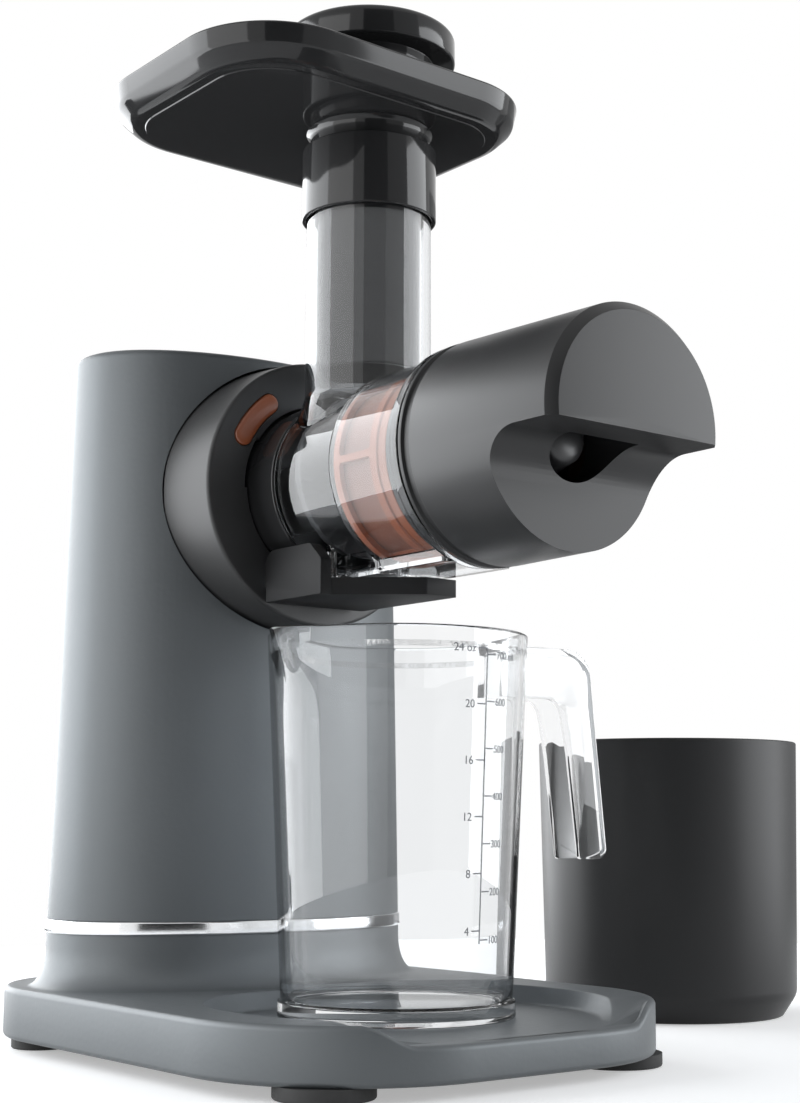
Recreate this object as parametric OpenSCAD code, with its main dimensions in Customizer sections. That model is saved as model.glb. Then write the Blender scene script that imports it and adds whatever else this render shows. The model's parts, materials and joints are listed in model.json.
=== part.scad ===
// Cold press juicer with its jug and pulp container.
// Z is up and zero is the counter. X runs along the auger towards the pulp outlet.
// The user stands at the minus Y side. The feed chute is on x = 0.

/* [Layout] */
// Drop from the tower's top to the auger axis
auger_drop = 54.5; // [53:0.1:64]
// Place of the auger plane across the set
auger_y = -86.3; // [-90:0.1:-80]
// Distance from the chute to the middle of the tower
tower_x = 87; // [86:0.5:90]
// Distance from the chute to the drum's face
drum_face_x = 29; // [28.5:0.1:30]

/* [Base] */
// Rear edge of the base, from the chute
base_rear = 138.4; // [134:0.1:145]
// Front edge of the base, from the chute
base_front = 91.1; // [88:0.1:100]
// Width of the base
base_w = 178.8; // [172:0.1:190]
// Corner radius at the rear
base_r_rear = 52; // [40:1:60]
// Corner radius at the front
base_r_front = 63; // [50:1:68]
// Underside of the base above the counter
base_gap = 4.45; // [3:0.05:6]
// Top of the base's rim
base_top = 22.7; // [20:0.1:26]
// Top of the recessed floor for the jug
floor_z = 16.4; // [14:0.1:18]
// Width of the lowered front lip
lip_w = 102; // [90:1:110]
// Width of the recess for the jug
recess_w = 138; // [120:1:146]

/* [Tower] */
// Half depth of the tower at its top
tower_a = 41.1; // [40:0.1:44]
// Half width of the tower at its top
tower_b = 70.9; // [66:0.1:74]
// Height of the tower's top
tower_h = 259.8; // [256:0.1:275]
// Growth of the half sizes for each millimetre down
tower_draft = 0.02; // [0:0.005:0.04]
// Wall of the tower
tower_wall = 2.6; // [2:0.1:3.5]
// Lower edge of the bright band
band_z = 41.8; // [38:0.1:50]
// Height of the bright band
band_h = 5; // [3:0.1:8]
// How far the band stands proud
band_proud = 0.7; // [0.3:0.1:1.5]

/* [Drum] */
// Radius of the drum at its face
drum_r = 50.4; // [49.5:0.1:52]
// Radius of the socket for the juicing chamber
socket_r = 33.2; // [32.9:0.1:33.4]
// Depth of the socket
socket_depth = 17; // [16:0.5:18]
// Wall of the drum
drum_wall = 2.4; // [2:0.1:3]

/* [Chamber] */
// Outer radius of the clear neck
neck_r = 32; // [31.5:0.1:32.5]
// Bore radius of the neck
neck_bore = 29.2; // [28.8:0.1:29.6]
// Outer radius of the filter section
big_r = 36; // [35.5:0.1:37]
// Bore radius of the filter section
big_bore = 33; // [32.6:0.1:33.4]
// End of the clear chamber's flange, from the chute
chamber_end = 66; // [64:0.5:68]
// Outer radius of the chute tube
chute_r = 23.2; // [22.8:0.1:24]
// Bore radius of the chute tube
chute_bore = 20.7; // [20.4:0.1:21.2]
// Drop from the tray's underside to the top of the chute tube
chute_drop = 10.5; // [9:0.5:14]

/* [Auger and filter] */
// Radius of the auger's flight
flight_r = 28.2; // [27.5:0.1:28.5]
// Radius of the auger's core in the feed zone
core_r = 13; // [12:0.5:16]
// Radius of the auger's core in the squeezing zone
core_r_squeeze = 19.5; // [17:0.5:22]
// Outer radius of the filter frame
filter_r = 32.6; // [32.2:0.1:32.9]
// Ribs round the filter frame
filter_ribs = 5; // [4:1:10]
// End of the filter frame, from the chute
filter_end = 53.6; // [50:0.1:58]

/* [End cap] */
// Radius of the end cap at its open end
cap_r = 38.6; // [38:0.1:40]
// Radius of the end cap near its face
cap_r_front = 37.3; // [36.5:0.1:38]
// Place of the end cap's face, from the chute
cap_end = 138.2; // [134:0.1:145]
// Place of the recessed pulp face, from the chute
cap_step = 108; // [106:0.5:112]
// Underside of the visor, below the auger axis
visor_drop = 3.6; // [2:0.1:8]
// Radius of the pulp outlet
pulp_r = 15.5; // [15:0.1:17]

/* [Hopper and pusher] */
// Rear edge of the tray, from the chute
tray_rear = 70.1; // [66:0.1:76]
// Front edge of the tray, from the chute
tray_front = 45; // [42:0.1:52]
// Left edge of the tray, from the chute
tray_left = 85.9; // [80:0.1:90]
// Right edge of the tray, from the chute
tray_right = 54.8; // [50:0.1:60]
// Corner radius of the tray
tray_r = 36.6; // [28:0.1:40]
// Rise of the pusher's top above the tray's rim
pusher_proud = 26.1; // [22:0.1:32]
// Depth of the tray outside
tray_depth = 12.4; // [11:0.1:16]
// Outer radius of the hopper's collar
collar_r = 25.1; // [24.9:0.1:27]
// Overall height, to the top of the pusher
pusher_top = 377; // [374:0.5:390]
// Radius of the pusher's cap
pusher_cap_r = 32.3; // [30:0.1:36]
// Radius of the pusher's stem
pusher_r = 19.2; // [18:0.1:19.5]

/* [Jug] */
// Middle of the jug, in front of the chute
jug_x = 18.4; // [16:0.1:20]
// Radius of the jug at its rim
jug_r = 46; // [44:0.1:47]
// Radius of the jug at its bottom
jug_r_bottom = 39.7; // [38:0.1:41]
// Drop from the drip stop to the jug's rim
jug_clear = 14.3; // [12:0.1:20]
// Wall of the jug
jug_wall = 2.2; // [1.8:0.1:3]
// Width of the handle
handle_w = 21; // [16:0.5:26]
// Reach of the handle from the middle of the jug
handle_reach = 101; // [96:0.5:106]
// Lower end of the handle above the counter
handle_bottom = 69; // [60:1:80]

/* [Pulp container] */
// Middle of the container along X
bin_x = 46.1; // [40:0.1:52]
// Middle of the container behind the auger plane
bin_y = 204.8; // [200:0.1:210]
// Radius of the container at its rim
bin_r = 57.1; // [54:0.1:60]
// Radius of the container near its bottom
bin_r_bottom = 54.7; // [52:0.1:57]
// Height of the container
bin_h = 117.9; // [105:0.1:130]
// Wall of the container
bin_wall = 2.2; // [1.8:0.1:3]

/* [Motor and gears] */
// Module of the first gear pair
mod_1 = 1.25; // [1.2:0.01:1.3]
// Module of the second gear pair
mod_2 = 1.6; // [1.55:0.01:1.62]
// Teeth of the motor pinion and of the small idler gear
teeth_small = 12; // [12:1:14]
// Teeth of the large idler gear and of the output gear
teeth_large = 42; // [40:1:42]
// Radius of the motor can
motor_r = 30; // [26:0.5:32]
// Length of the motor can
motor_len = 36; // [30:0.5:38]

/* [Hidden] */
$fn = 96;

// Clearances and overruns
fit_gap = 0.3;
run_gap = 0.05;
over = 1;
// Points on each corner of a lofted ring, and round a lofted oval
corner_steps = 10;
oval_steps = 64;
oval_power = 2.05;

// Base, small sizes
base_round = 2.4;
base_wall = 4;
floor_wall = 3.2;
recess_slope = 4;
recess_rear = 30;
recess_front_gap = 5;
recess_r_rear = 50;
recess_r_front = 58;
lip_slope = 9;
cover_t = 2.3;
cover_inset = 0.5;
foot_r_front = 16;
foot_r_rear = 11;
foot_front_in = 29.1;
foot_front_side = 27.4;
foot_rear_in = 36.4;
foot_rear_side = 17.4;
foot_groove = 0.8;
foot_step = 7;
screw_r = 2;
screw_head_r = 3.6;
screw_head_h = 1.4;
screw_len = 7;
screw_front_in = 9.1;
screw_y = 25;
screw_rear_in = 19.4;
screw_rear_side = 26.4;
boss_r = 4.2;
flare_spread = 8;
flare_depth_share = 0.6;
flare_shift_share = 0.32;
flare_top_z = band_z;
outlet_z = 31;
outlet_r = 5.5;
outlet_flange_r = 8;
outlet_bore = 3.2;
outlet_depth = 7;

// Tower, small sizes
top_round = 3;
top_t = 3;
panel_inset = 9;
panel_ledge = 3;
panel_t = 2.6;
button_y = 22;
button_r = 9;
button_proud = 1.5;
button_h = 6;
button_travel = 1.2;
pad_r = 5;
board_w = 70;
board_d = 36;
board_front = 5.5;
board_t = 1.6;
board_drop = 12;
post_r = 2.5;

// Drum, small sizes
drum_back_x = 60;
drum_flare = 1.6;
drum_round = 2.2;
face_t = 3;
floor_t = 2;
socket_tube_r = 34.9;
groove_w = 4.3;
lug_r = 33.9;
lug_w = 3;
lug_angle = 26;
lug_turn = 45;
release_r = 39.8;
release_w = 7.3;
release_from = 122;
release_to = 158;
release_proud = 1.2;
release_depth = 6;
release_flange = 2;
release_flange_angle = 3;
spring_r = 2.6;
spring_wire = 0.45;
spring_turns = 5;
spring_steps = 14;
wire_sides = 6;

// Gear train, seen along X
case_wall = 2.2;
case_rear_x = 80.5;
gear_1_x = 77;
gear_1_w = 7;
gear_2_x = 68.5;
gear_2_w = 9;
case_front_x = 57;
turret_front_x = 48.3;
gear_clear = 2;
second_angle = -78;
first_angle = -104;
pressure = 25;
backlash = 0.22;
addendum_share = 0.9;
dedendum_share = 1.2;
flank_steps = 5;
hub_r = 7;
pin_r = 3;
shaft_r = 6;
motor_shaft_r = 2.5;
bush_r = 9;
bush_len = 6;
seal_r = 13;
seal_t = 1.6;
drive_flats = 12;
drive_out = 18;
case_screw_r = 1.6;
screw_side_share = 0.62;
screw_down_share = 0.6;
core_gap = 2;
rotor_len = 22;
fan_r = 22;
fan_blades = 9;
fan_t = 4;

// Chamber, small sizes
ring_front_x = 14;
ring_wall = 1.75;
shoulder_x = 21;
shoulder_len = 4;
flange_r = 38.5;
flange_w = 4;
spigot_r = 35.6;
spigot_len = 6;
chute_root_r = 24.6;
chute_root_rise = 21.7;
chute_root_h = 18;
duct_wall = 1.8;
duct_rear = 14;
duct_front = 26;
duct_y = 14;
foot_plate_gap = 0.4;
foot_plate_t = 1.5;
leg_x = 1.6;
leg_t = 3;
leg_left = 16.8;
leg_right = 13.5;
trough_y = 21;
trough_rise = 0.6;
trough_from = 24.6;
spout_r = 6;
spout_x = 6;
neck_well_r = 10.5;
spout_neck_r = 12.3;

// Filter and auger, small sizes
filter_start = 25.4;
band_w = 3.4;
outlet_band_w = 7.6;
rib_angle = 180;
rib_w = 2.4;
frame_t = 2;
screen_t = 0.4;
screen_gap = 0.1;
auger_back = 43;
flight_start = 18;
flight_mid = 24;
flight_end = 62;
nose_end = 104;
nose_r = 6;
feed_turns = 2;
squeeze_turns = 3;
nose_turns = 2.5;
turn_steps = 24;
crest_share = 0.16;
root_share = 0.3;
core_rings = 24;

// Drip stop, small sizes
gate_drop = 43.5;
gate_t = 2.5;
gate_rail_h = 6.1;
gate_end_h = 12.5;
grip_h = 18.7;
gate_wall = 2;
gate_rear = 26;
gate_front = 30.4;
gate_left = 27;
gate_right = 17.5;
gate_corner_x = 8.8;
gate_corner_y = 22.2;
gate_bend_y = 3.4;
grip_flat_front = 2;
grip_r = 12;
gate_lip = 1.5;

// End cap, small sizes
cap_bevel = 3;
visor_fillet = 14;
cap_ring_x = 73;
cap_groove = 0.7;
cone_end_x = 98;
visor_t = 14;

// Hopper and pusher, small sizes
tray_wall = 2.4;
tray_slope = 2.2;
tray_round = 5;
neck_outer = 21.9;
neck_inner = 20;
neck_fillet = 6;
collar_share = 0.35;
collar_depth = 7;
pusher_cap_h = 11.1;
pusher_round = 2.5;
pusher_rise = 40.7;
pusher_step_r = 24;
pusher_wall = 2;

// Jug, small sizes
jug_lift = 0.3;
jug_floor_t = 4;
jug_foot_r = 41;
jug_foot_h = 6;
spout_reach = 8;
spout_drop = 22;
spout_half = 13;
handle_top_y = 62;
handle_shoulder_y = 90;
handle_shoulder_drop = 14.5;
handle_mid_y = 94;
handle_mid_drop = 33.5;
handle_in_top_drop = 19.5;
handle_in_top_y = 66;
handle_in_mid_y = 71;
handle_in_mid_drop = 25.5;
handle_in_low_y = 78;
handle_web = 2.4;
handle_side = 2.2;

// Container, small sizes
bin_foot_step = 3.4;
bin_foot_h = 2.6;
bin_round = 7;

// Worked out from the sizes above
auger_z = tower_h - auger_drop;
foot_x_front = base_front - foot_front_in;
foot_y_front = base_w / 2 - foot_front_side;
foot_x_rear = base_rear - foot_rear_in;
foot_y_rear = base_w / 2 - foot_rear_side;
screw_x = base_front - screw_front_in;
screw_rear_x = base_rear - screw_rear_in;
screw_rear_y = base_w / 2 - screw_rear_side;
gate_bottom = auger_z - gate_drop;
gate_rail_z = gate_bottom + gate_rail_h;
gate_end_z = gate_bottom + gate_end_h;
grip_top = gate_bottom + grip_h;
foot_plate_z = gate_bottom + gate_t + foot_plate_gap;
chute_root_z = auger_z + chute_root_rise;
tray_top = pusher_top - pusher_proud;
tray_bottom = tray_top - tray_depth;
chute_top = tray_bottom - chute_drop;
collar_z = tray_bottom - collar_share * (tray_bottom - auger_z - big_r);
collar_top = tray_bottom - collar_depth;
pusher_bottom = auger_z + pusher_rise;
jug_top = gate_bottom - jug_clear;
handle_shoulder_z = jug_top - handle_shoulder_drop;
handle_mid_z = jug_top - handle_mid_drop;
handle_in_top_z = jug_top - handle_in_top_drop;
handle_in_mid_z = jug_top - handle_in_mid_drop;
x_case_rear = -case_rear_x;
socket_floor_x = -drum_face_x - socket_depth;
jug_z = floor_z + jug_lift;
pusher_step_h = pusher_top - pusher_cap_h - tray_bottom - tray_wall - fit_gap;
cd_1 = mod_1 * (teeth_small + teeth_large) / 2;
cd_2 = mod_2 * (teeth_small + teeth_large) / 2;
idler_y = cd_2 * cos(second_angle);
idler_z = auger_z + cd_2 * sin(second_angle);
motor_y = idler_y + cd_1 * cos(first_angle);
motor_z = idler_z + cd_1 * sin(first_angle);
turret_r = drum_r + drum_flare - drum_wall - fit_gap - over;

// Shared shapes
module machine() {
    translate([0, auger_y, 0]) children();
}

// A solid through rings of points, from the first ring up to the last
module loft(rings) {
    n = len(rings[0]);
    m = len(rings);
    pts = [for (r = rings) for (p = r) p];
    sides = [for (i = [0:m - 2]) for (j = [0:n - 1]) [i * n + j, (i + 1) * n + j,
        (i + 1) * n + (j + 1) % n, i * n + (j + 1) % n]];
    first = [for (j = [0:n - 1]) j];
    last = [for (j = [n - 1:-1:0]) (m - 1) * n + j];
    polyhedron(points = pts, faces = concat([first], sides, [last]));
}

// A rounded rectangle as a ring of points, drawn in by inset
function block_ring(x0, x1, y0, y1, r0, r1, inset, z) = [
    for (c = [[x1 - r1, y1 - r1, r1, 0], [x0 + r0, y1 - r0, r0, 90],
              [x0 + r0, y0 + r0, r0, 180], [x1 - r1, y0 + r1, r1, 270]])
        for (i = [0:corner_steps])
            let (a = c[3] + 90 * i / corner_steps, r = c[2] - inset)
                [c[0] + r * cos(a), c[1] + r * sin(a), z]];

// The tower's oval section as a ring, grown by spread
function oval_ring(spread, z) =
    let (g = tower_draft * (tower_h - z) + spread, a = tower_a + g, b = tower_b + g)
        [for (i = [0:oval_steps - 1])
            let (t = 360 * i / oval_steps, c = cos(t), s = sin(t), e = 2 / oval_power)
                [-tower_x + a * sign(c) * pow(abs(c), e), b * sign(s) * pow(abs(s), e), z]];
// The same section spreading into the base, less at the back than at the front
function flare_ring(spread, z) = [for (p = oval_ring(0, z)) let (c = p[0] + tower_x, r = norm([c, p[1]]))
    [p[0] + c / r * spread * flare_depth_share + spread * flare_shift_share, p[1] + p[1] / r * spread, z]];

function arc(cx, cy, r, a0, a1, n) =
    [for (i = [0:n]) let (a = a0 + (a1 - a0) * i / n) [cx + r * cos(a), cy + r * sin(a)]];

// A solid of revolution about the auger axis, from points of radius and x
module turned(points) {
    translate([0, 0, auger_z]) rotate([90, 0, 90]) rotate_extrude() polygon(points);
}

// A cylinder along X with its rear face at x
module rod_x(x, y, z, r, len) {
    translate([x, y, z]) rotate([0, 90, 0]) cylinder(r = r, h = len);
}

// An outline of y and z pushed along X from x
module slab_x(x, len) {
    translate([x, 0, 0]) rotate([90, 0, 90]) linear_extrude(len) children();
}

// One side of an involute tooth as radius and angle from the middle of the tooth
function inv_angle(rb, r) =
    let (t = sqrt(max(r * r / (rb * rb) - 1, 0))) t * 180 / PI - atan(t);
function gear_flank(z, m) =
    let (rp = m * z / 2, rb = rp * cos(pressure), ra = rp + addendum_share * m,
         r0 = max(rb, rp - dedendum_share * m),
         half = 90 / z - backlash / rp * 90 / PI + inv_angle(rb, rp))
        [for (i = [0:flank_steps]) let (r = r0 + (ra - r0) * i / flank_steps)
            [r, half - inv_angle(rb, r)]];

// A spur gear outline with a tooth's middle at the angle phase
function gear_points(z, m, phase) =
    let (f = gear_flank(z, m), rp = m * z / 2, rf = rp - dedendum_share * m, h0 = f[0][1])
        [for (k = [0:z - 1]) let (c = phase + 360 * k / z) each concat(
            [[rf * cos(c - h0), rf * sin(c - h0)]],
            [for (p = f) [p[0] * cos(c - p[1]), p[0] * sin(c - p[1])]],
            [for (i = [flank_steps:-1:0]) let (p = f[i])
                [p[0] * cos(c + p[1]), p[0] * sin(c + p[1])]],
            [[rf * cos(c + h0), rf * sin(c + h0)]])];

// The phase that puts a gap of the second gear on a tooth of the first
function mesh_phase(phase, z1, z2, line) =
    line + 180 + 360 / z2 * (1 / 2 - (phase - line) * z1 / 360);

module gear_x(x, y, z, w, teeth, m, phase) {
    slab_x(x, w) translate([y, z]) polygon(gear_points(teeth, m, phase));
}

out_phase = 0;
idler_small_phase = mesh_phase(out_phase, teeth_large, teeth_small, second_angle);
idler_large_phase = idler_small_phase;
pinion_phase = mesh_phase(idler_large_phase, teeth_large, teeth_small, first_angle);

// The base, its rim, recess, lip and the flare under the tower
function base_ring(inset, z) = block_ring(-base_rear, base_front, -base_w / 2, base_w / 2,
    base_r_rear, base_r_front, inset, z);
function recess_ring(inset, z) = block_ring(-recess_rear, base_front - recess_front_gap,
    -recess_w / 2, recess_w / 2, recess_r_rear, recess_r_front, inset, z);

module lip_cut() {
    h = base_top - floor_z;
    translate([base_front - base_r_front / 2, 0, 0]) rotate([90, 0, 90])
        linear_extrude(base_r_front)
            polygon(concat(
                [for (i = [0:8]) let (t = i / 8)
                    [-lip_w / 2 - lip_slope + 2 * lip_slope * t,
                     base_top + over - (h + over) * (1 - cos(180 * t)) / 2]],
                [for (i = [8:-1:0]) let (t = i / 8)
                    [lip_w / 2 + lip_slope - 2 * lip_slope * t,
                     base_top + over - (h + over) * (1 - cos(180 * t)) / 2]]));
}

module base_shape() difference() {
    union() {
        loft([base_ring(base_round, base_gap), base_ring(0.3 * base_round, base_gap + 0.4 * base_round),
            base_ring(0, base_gap + base_round), base_ring(0, base_top - base_round),
            base_ring(0.3 * base_round, base_top - 0.35 * base_round),
            base_ring(base_round, base_top)]);
        loft([for (s = [[1, -0.05], [0.62, 0.06], [0.36, 0.2], [0.17, 0.38], [0.05, 0.62], [0, 1]])
            flare_ring(flare_spread * s[0], base_top + (flare_top_z - base_top) * s[1])]);
    }
    loft([recess_ring(recess_slope, floor_z), recess_ring(recess_slope * 0.35, floor_z + 0.3 * recess_slope),
        recess_ring(0, floor_z + 1.2 * recess_slope), recess_ring(-over, base_top + over)]);
    lip_cut();
    loft([base_ring(base_wall, base_gap - over), base_ring(base_wall, floor_z - floor_wall)]);
    loft([oval_ring(-tower_wall, base_gap + base_wall), oval_ring(-tower_wall, flare_top_z + over)]);
    rod_x(-base_rear, 0, outlet_z, outlet_r + fit_gap, base_rear - tower_x);
}

module base_housing() color([0.46, 0.48, 0.49]) machine() difference() {
    union() {
        base_shape();
        screw_places() translate([0, 0, base_gap + cover_inset + cover_t + fit_gap])
            cylinder(r = boss_r, h = floor_z - floor_wall + over - base_gap - cover_inset - cover_t - fit_gap);
    }
    screw_places() translate([0, 0, base_gap]) cylinder(r = screw_r + run_gap,
        h = cover_inset + screw_len + over / 2);
}

module screw_places() {
    for (s = [-1, 1]) {
        translate([screw_x, s * screw_y, 0]) children();
        translate([-screw_rear_x, s * screw_rear_y, 0]) children();
    }
}

// The plate that closes the base from below
module bottom_cover() color([0.2, 0.2, 0.21]) machine() difference() {
    translate([0, 0, base_gap + cover_inset]) linear_extrude(cover_t)
        polygon([for (p = base_ring(base_wall + fit_gap, 0)) [p[0], p[1]]]);
    screw_places() cylinder(r = screw_r + fit_gap, h = base_top);
    screw_places() cylinder(r = screw_head_r + fit_gap, h = base_gap + cover_inset + screw_head_h);
}

// Four rubber pads under the cover
module foot_pad(x, y, r) {
    translate([x, y, 0]) difference() {
        union() {
            cylinder(r = r, h = base_gap);
            cylinder(r = r - foot_step, h = base_gap + cover_inset);
        }
        translate([0, 0, -over]) difference() {
            cylinder(r = r - 2 * foot_groove, h = over + foot_groove);
            cylinder(r = r - 4 * foot_groove, h = over + foot_groove);
        }
    }
}

module feet() color([0.15, 0.15, 0.15]) machine() for (s = [-1, 1]) {
    foot_pad(foot_x_front, s * foot_y_front, foot_r_front);
    foot_pad(-foot_x_rear, s * foot_y_rear, foot_r_rear);
}

module cover_screws() color([0.7, 0.7, 0.72]) machine() screw_places() {
    translate([0, 0, base_gap + cover_inset]) cylinder(r = screw_r, h = screw_len);
    translate([0, 0, base_gap + cover_inset]) difference() {
        cylinder(r = screw_head_r, h = screw_head_h - fit_gap);
        translate([0, 0, -over]) cylinder(r = screw_r * 0.6, h = over + screw_head_h / 2, $fn = 6);
    }
}

// The ring that the supply cord comes out of, low on the back
module cord_outlet() color([0.15, 0.15, 0.15]) machine() difference() {
    x = -tower_x - tower_a - tower_draft * (tower_h - outlet_z) - flare_spread * 0.3;
    union() {
        rod_x(x - over, 0, outlet_z, outlet_r, outlet_depth + over);
        rod_x(x - 2 * over, 0, outlet_z, outlet_flange_r, 2 * over - fit_gap);
    }
    rod_x(x - 3 * over, 0, outlet_z, outlet_bore, outlet_depth + 4 * over);
}

module chrome_band() color([0.85, 0.85, 0.87]) machine() difference() {
    loft([oval_ring(0, band_z), oval_ring(band_proud, band_z + 0.15 * band_h),
        oval_ring(band_proud, band_z + 0.85 * band_h), oval_ring(0, band_z + band_h)]);
    loft([oval_ring(-tower_wall, band_z - over), oval_ring(-tower_wall, band_z + band_h + over)]);
}

// The hollow tower with its hole for the drum and its opening for the panel
module tower_shell() color([0.46, 0.48, 0.49]) machine() difference() {
    loft([oval_ring(0, band_z + band_h), oval_ring(0, tower_h - top_round),
        oval_ring(-0.3 * top_round, tower_h - 0.3 * top_round), oval_ring(-top_round, tower_h)]);
    loft([oval_ring(-tower_wall, band_z + band_h - over), oval_ring(-tower_wall,
        tower_h - top_t - panel_ledge),
        oval_ring(-panel_inset - panel_ledge, tower_h - top_t - fit_gap),
        oval_ring(-panel_inset - panel_ledge, tower_h - top_t + over)]);
    loft([oval_ring(-panel_inset, tower_h - top_t), oval_ring(-panel_inset, tower_h + over)]);
    rod_x(-drum_back_x - over, 0, auger_z, drum_r + drum_flare + fit_gap, drum_back_x);
}

// The panel in the tower's top, with posts for the control board
module top_panel() color([0.12, 0.12, 0.13]) machine() difference() {
    union() {
        loft([oval_ring(-panel_inset - fit_gap, tower_h - top_t + fit_gap / 3),
            oval_ring(-panel_inset - fit_gap, tower_h - top_t + panel_t)]);
        for (s = [-1, 1]) translate([-tower_x, s * (board_w / 2 - 2 * post_r), tower_h - board_drop])
            cylinder(r = post_r, h = board_drop - top_t + panel_t / 2);
    }
    for (s = [-1, 1]) translate([-tower_x, s * button_y, tower_h - 2 * top_t])
        cylinder(r = button_r + fit_gap, h = 3 * top_t);
}

module push_button(y) {
    translate([-tower_x, y, tower_h + button_proud - button_h]) {
        cylinder(r = button_r, h = button_h - over / 2);
        translate([0, 0, button_h - over / 2]) cylinder(r1 = button_r, r2 = button_r - over / 2,
            h = over / 2);
    }
}

module start_button() color([0.3, 0.3, 0.31]) machine() push_button(-button_y);

module reverse_button() color([0.3, 0.3, 0.31]) machine() push_button(button_y);

board_z = tower_h - board_drop - board_t;

module button_pads() color([0.6, 0.6, 0.62]) machine() for (s = [-1, 1])
    translate([-tower_x, s * button_y, board_z + board_t])
        cylinder(r1 = pad_r, r2 = 0.6 * pad_r,
            h = tower_h + button_proud - button_h - button_travel - fit_gap - board_z - board_t);

module control_board() color([0.1, 0.35, 0.2]) machine()
    translate([-tower_x + board_front - board_d, -board_w / 2, board_z]) cube([board_d, board_w, board_t]);

// The drum with its face, the socket for the chamber and the slot of the release button
module release_outline(grow, ends) {
    r0 = release_r - release_w / 2 - grow;
    r1 = release_r + release_w / 2 + grow;
    e = (release_w / 2) / release_r * 180 / PI;
    a0 = release_from + e - ends;
    a1 = release_to - e + ends;
    rm = (r0 + r1) / 2;
    rr = (r1 - r0) / 2;
    polygon(concat(
        [for (i = [0:8]) let (a = a0 + (a1 - a0) * i / 8) [r1 * cos(a), r1 * sin(a)]],
        [for (i = [1:9]) let (b = 18 * i) [rm * cos(a1) + rr * cos(a1 + b), rm * sin(a1) + rr * sin(a1 + b)]],
        [for (i = [8:-1:0]) let (a = a0 + (a1 - a0) * i / 8) [r0 * cos(a), r0 * sin(a)]],
        [for (i = [1:9]) let (b = 180 + 18 * i)
            [rm * cos(a0) + rr * cos(a0 + b), rm * sin(a0) + rr * sin(a0 + b)]]));
}

module drum_housing() color([0.1, 0.1, 0.11]) machine() difference() {
    turned(concat(
        [[shaft_r + bush_r / 3 + over, socket_floor_x - floor_t], [shaft_r + bush_r / 3 + over,
            socket_floor_x],
         [socket_r, socket_floor_x], [socket_r, -drum_face_x - over / 2], [socket_r + over / 2,
             -drum_face_x]],
        [for (p = arc(0, 0, drum_round, 90, 0, 6)) [drum_r - drum_round + p[0],
            -drum_face_x - drum_round + p[1]]],
        [[drum_r + drum_flare, -drum_back_x], [drum_r + drum_flare - drum_wall, -drum_back_x],
         [drum_r - drum_wall, -drum_face_x - face_t], [socket_tube_r, -drum_face_x - face_t],
         [socket_tube_r, socket_floor_x - floor_t]]));
    turned([[socket_r - over, socket_floor_x], [lug_r + fit_gap, socket_floor_x],
        [lug_r + fit_gap, socket_floor_x + groove_w], [socket_r - over, socket_floor_x + groove_w]]);
    for (k = [0:2]) slab_x(socket_floor_x + groove_w - over, socket_depth)
        translate([0, auger_z]) polygon(concat(
            arc(0, 0, lug_r + fit_gap / 2, 120 * k + lug_turn - lug_angle / 2 - over,
                120 * k + lug_turn + lug_angle / 2 + over, 6),
            arc(0, 0, socket_r - over, 120 * k + lug_turn + lug_angle / 2 + over,
                120 * k + lug_turn - lug_angle / 2 - over, 6)));
    slab_x(-drum_face_x - face_t - over, face_t + 2 * over)
        translate([0, auger_z]) release_outline(fit_gap, 0);
    slab_x(-drum_back_x - over, drum_back_x - case_front_x + over + fit_gap) case_outline(fit_gap);
    translate([-drum_back_x - over, -drum_r, tower_h - top_t - fit_gap])
        cube([drum_back_x + 2 * over - tower_x + tower_a - panel_inset, 2 * drum_r, tower_h]);
}

module release_button() color([0.72, 0.36, 0.2]) machine() {
    slab_x(-drum_face_x - release_depth, release_depth + release_proud)
        translate([0, auger_z]) release_outline(0, 0);
    slab_x(-drum_face_x - release_depth, release_flange)
        translate([0, auger_z]) release_outline(0, release_flange_angle);
}

// A coil as one tube from points of a rule
module coil(r, wire, turns, len) {
    n = turns * spring_steps;
    loft([for (i = [0:n]) let (a = 360 * i / spring_steps)
        [for (j = [0:wire_sides - 1]) let (b = -360 * j / wire_sides, q = r + wire * cos(b))
            [q * cos(a), q * sin(a), wire + (len - 2 * wire) * i / n + wire * sin(b)]]]);
}

release_mid = (release_from + release_to) / 2;
module release_spring() color([0.7, 0.7, 0.72]) machine()
    translate([socket_floor_x - floor_t, release_r * cos(release_mid),
        auger_z + release_r * sin(release_mid)])
        rotate([0, 90, 0])
            coil(spring_r, spring_wire, spring_turns,
                -drum_face_x - release_depth - (socket_floor_x - floor_t));

// The case round the gears, its cover and their screws
module case_outline(grow) {
    hull() {
        translate([0, auger_z]) circle(r = turret_r - over + grow, $fn = 48);
        translate([idler_y, idler_z]) circle(r = mod_1 * teeth_large / 2 + 2 * mod_1 + gear_clear + case_wall + grow, $fn = 48);
        translate([motor_y, motor_z]) circle(r = motor_r + grow, $fn = 48);
    }
}

function case_screw_points() = [for (s = [-1, 1]) each [
    [motor_y + s * motor_r * screw_side_share, motor_z - motor_r * screw_down_share],
    [s * turret_r * screw_down_share, auger_z + turret_r * screw_side_share]]];

module case_screw_places() {
    for (p = case_screw_points()) translate([0, p[0], p[1]]) children();
}

module gear_case() color([0.55, 0.56, 0.58]) machine() difference() {
    slab_x(x_case_rear, case_rear_x - case_front_x - case_wall) case_outline(0);
    slab_x(x_case_rear + case_wall, case_rear_x) difference() {
        case_outline(-case_wall);
        for (p = case_screw_points()) translate(p) circle(r = 3 * case_screw_r);
    }
    rod_x(x_case_rear - over, motor_y, motor_z, motor_shaft_r + fit_gap, case_wall + 2 * over);
    rod_x(x_case_rear - over, idler_y, idler_z, pin_r + run_gap / 2, case_wall + 2 * over);
    case_screw_places() rod_x(x_case_rear + case_wall, 0, 0, case_screw_r, case_rear_x);
}

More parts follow.
